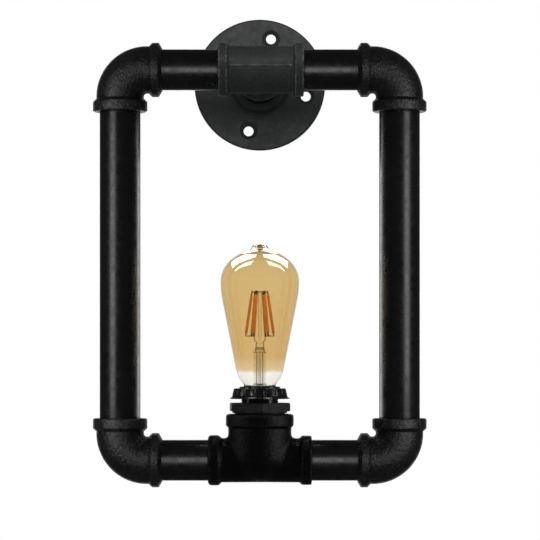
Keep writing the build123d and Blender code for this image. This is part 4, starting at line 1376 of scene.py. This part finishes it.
class PIPELIGHT_OT_elbows(Step):
    """Draw one elbow from a ring, and set four copies of it at the corners"""

    bl_idname = "pipelight.elbows"
    bl_label = "Elbows"

    def execute(self, context):
        sizes = context.scene.pipe_light_frame
        finishes = context.scene.pipe_light_finishes
        master = make_elbow(sizes)
        side_x = sizes.frame_width / 2 / MM
        for row, word in (("top", "left"), ("top", "right"), ("bottom", "left"), ("bottom", "right")):
            piece = copied(master, f"{row}_{word}_cast_elbow")
            piece.scale = (-1 if word == "right" else 1, 1, -1 if row == "top" else 1)
            height = 0 if row == "top" else -sizes.frame_height / MM
            place(piece, (side_x * (1 if word == "right" else -1), -sizes.standoff / MM, height))
            refaced(piece)
            grained(piece, finishes, 1.1)
            smooth(piece, radians(40))
            finished(piece, "pipe_frame", "elbow_iron", FINISH["elbow"], f"{row}_{word}_elbow")
        bpy.data.objects.remove(master)
        return {"FINISHED"}


class PIPELIGHT_OT_tees(Step):
    """Cast the wall tee and the wide lamp tee"""

    bl_idname = "pipelight.tees"
    bl_label = "Tees"

    def execute(self, context):
        sizes = context.scene.pipe_light_frame
        finishes = context.scene.pipe_light_finishes
        wall_tee = place(make_wall_tee(sizes, finishes), (0, -sizes.standoff / MM, 0))
        finished(wall_tee, "pipe_frame", "cast_iron", FINISH["iron"], "wall_tee")
        lamp_tee = place(make_lamp_tee(sizes, finishes), self.lamp_place(context))
        finished(lamp_tee, "pipe_frame", "cast_iron", FINISH["tee"], "lamp_tee")
        return {"FINISHED"}


class PIPELIGHT_OT_holder(Step):
    """Make the hexagon bush and the threaded holder neck"""

    bl_idname = "pipelight.holder"
    bl_label = "Bush and holder"

    def execute(self, context):
        bush = place(make_hex_bush(), self.lamp_place(context))
        finished(bush, "pipe_frame", "cast_iron", FINISH["bush"], "hex_bush")
        neck = place(make_holder_skirt(), self.lamp_place(context))
        finished(neck, "pipe_frame", "phenolic", FINISH["holder"], "holder_skirt")
        return {"FINISHED"}


class PIPELIGHT_OT_ring(Step):
    """Turn the shade ring and cut its flutes"""

    bl_idname = "pipelight.ring"
    bl_label = "Shade ring"

    def execute(self, context):
        ring = place(make_shade_ring(context.scene.pipe_light_lamp), self.lamp_place(context))
        finished(ring, "shade_ring", "phenolic", FINISH["holder"], "shade_ring")
        return {"FINISHED"}


class PIPELIGHT_OT_cap(Step):
    """Make the lamp's screw cap"""

    bl_idname = "pipelight.cap"
    bl_label = "Lamp cap"

    def execute(self, context):
        cap = place(make_lamp_cap(), self.lamp_place(context))
        finished(cap, "lamp", "cap_metal", FINISH["cap"], "lamp_cap")
        return {"FINISHED"}


class PIPELIGHT_OT_glass(Step):
    """Blow the bulb and draw the stem"""

    bl_idname = "pipelight.glass"
    bl_label = "Bulb and stem"

    def execute(self, context):
        bulb = place(make_bulb(context.scene.pipe_light_lamp), self.lamp_place(context))
        finished(bulb, "lamp", "amber_glass", FINISH["amber"], "lamp_glass")
        stem = place(make_stem(), self.lamp_place(context))
        finished(stem, "lamp", "clear_glass", FINISH["clear"], "glass_stem")
        return {"FINISHED"}


class PIPELIGHT_OT_filaments(Step):
    """Set the filament sticks, their tabs and the wires that carry them"""

    bl_idname = "pipelight.filaments"
    bl_label = "Filaments"

    def execute(self, context):
        sizes = context.scene.pipe_light_lamp
        at = self.lamp_place(context)
        for index in range(sizes.filament_count):
            stick, metal = make_filament(index, sizes)
            finished(place(stick, at), "lamp", "phosphor", FINISH["filament"], f"led_filament_{index + 1}")
            finished(place(metal, at), "lamp", "nickel_wire", FINISH["tab"])
        crown = place(make_crown_wire(), at)
        finished(crown, "lamp", "nickel_wire", FINISH["nickel"], "filament_crown")
        for side, word in ((-1, "left"), (1, "right")):
            link = place(make_link(f"{word}_link_wire", side), at)
            finished(link, "lamp", "nickel_wire", FINISH["nickel"], f"filament_{word}_link")
            lead = place(make_lead(f"{word}_kinked_lead", side), at)
            finished(lead, "lamp", "nickel_wire", FINISH["nickel"], f"{word}_lead_wire")
        return {"FINISHED"}


class PIPELIGHT_OT_inside(Step):
    """Give the hidden working parts their finishes"""

    bl_idname = "pipelight.inside"
    bl_label = "Working parts"

    def execute(self, context):
        finish_of = {
            "lamp_tip": "solder",
            "lamp_insulator": "cap_glass",
            "holder_base": "holder",
            "screw_shell": "brass",
            "centre_contact": "brass",
            "terminal_screws": "brass",
            "terminal_barrels": "brass",
            "terminal_block_screws": "nickel",
            "terminal_block": "block",
            "inner_flex": "sheath",
            "live_core": "live",
            "neutral_core": "neutral",
            "driver_board": "board",
            "driver_capacitor": "sleeve",
        }
        for node, finish in finish_of.items():
            for material_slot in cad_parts[node].material_slots:
                material_slot.material = FINISH[finish]
        return {"FINISHED"}


class PIPELIGHT_PT_panel(bpy.types.Panel):
    """Sizes, finishes and building steps of the wall light"""

    bl_idname = "PIPELIGHT_PT_panel"
    bl_label = "Pipe Wall Light"
    bl_space_type = "VIEW_3D"
    bl_region_type = "UI"
    bl_category = "Pipe Light"

    def draw(self, context):
        scene = context.scene
        for title, group in (
            ("Frame", scene.pipe_light_frame),
            ("Flange", scene.pipe_light_flange),
            ("Lamp", scene.pipe_light_lamp),
            ("Finishes", scene.pipe_light_finishes),
            ("Studio", scene.pipe_light_studio),
        ):
            box = self.layout.box()
            box.label(text=title)
            for name in group.__annotations__:
                box.prop(group, name)
        column = self.layout.column(align=True)
        for step in STEPS:
            column.operator(step.bl_idname)


STEPS = (
    PIPELIGHT_OT_stage,
    PIPELIGHT_OT_finishes,
    PIPELIGHT_OT_flange,
    PIPELIGHT_OT_pipes,
    PIPELIGHT_OT_elbows,
    PIPELIGHT_OT_tees,
    PIPELIGHT_OT_holder,
    PIPELIGHT_OT_ring,
    PIPELIGHT_OT_cap,
    PIPELIGHT_OT_glass,
    PIPELIGHT_OT_filaments,
    PIPELIGHT_OT_inside,
    PIPELIGHT_OT_lamps,
)

GROUPS = {
    "pipe_light_frame": PipeLightFrameSizes,
    "pipe_light_flange": PipeLightFlangeSizes,
    "pipe_light_lamp": PipeLightLampSizes,
    "pipe_light_finishes": PipeLightFinishes,
    "pipe_light_studio": PipeLightStudio,
}


def register():
    """Adds the property groups, the steps and the panel."""
    for name, group in GROUPS.items():
        bpy.utils.register_class(group)
        setattr(bpy.types.Scene, name, PointerProperty(type=group))
    for step in STEPS:
        bpy.utils.register_class(step)
    bpy.utils.register_class(PIPELIGHT_PT_panel)


def unregister():
    """Removes them again."""
    bpy.utils.unregister_class(PIPELIGHT_PT_panel)
    for step in reversed(STEPS):
        bpy.utils.unregister_class(step)
    for name, group in reversed(GROUPS.items()):
        delattr(bpy.types.Scene, name)
        bpy.utils.unregister_class(group)


def main():
    """Builds the whole light, step by step."""
    register()
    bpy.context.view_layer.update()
    for step in STEPS:
        getattr(bpy.ops.pipelight, step.bl_idname.split(".")[1])()


if __name__ == "__main__":
    main()
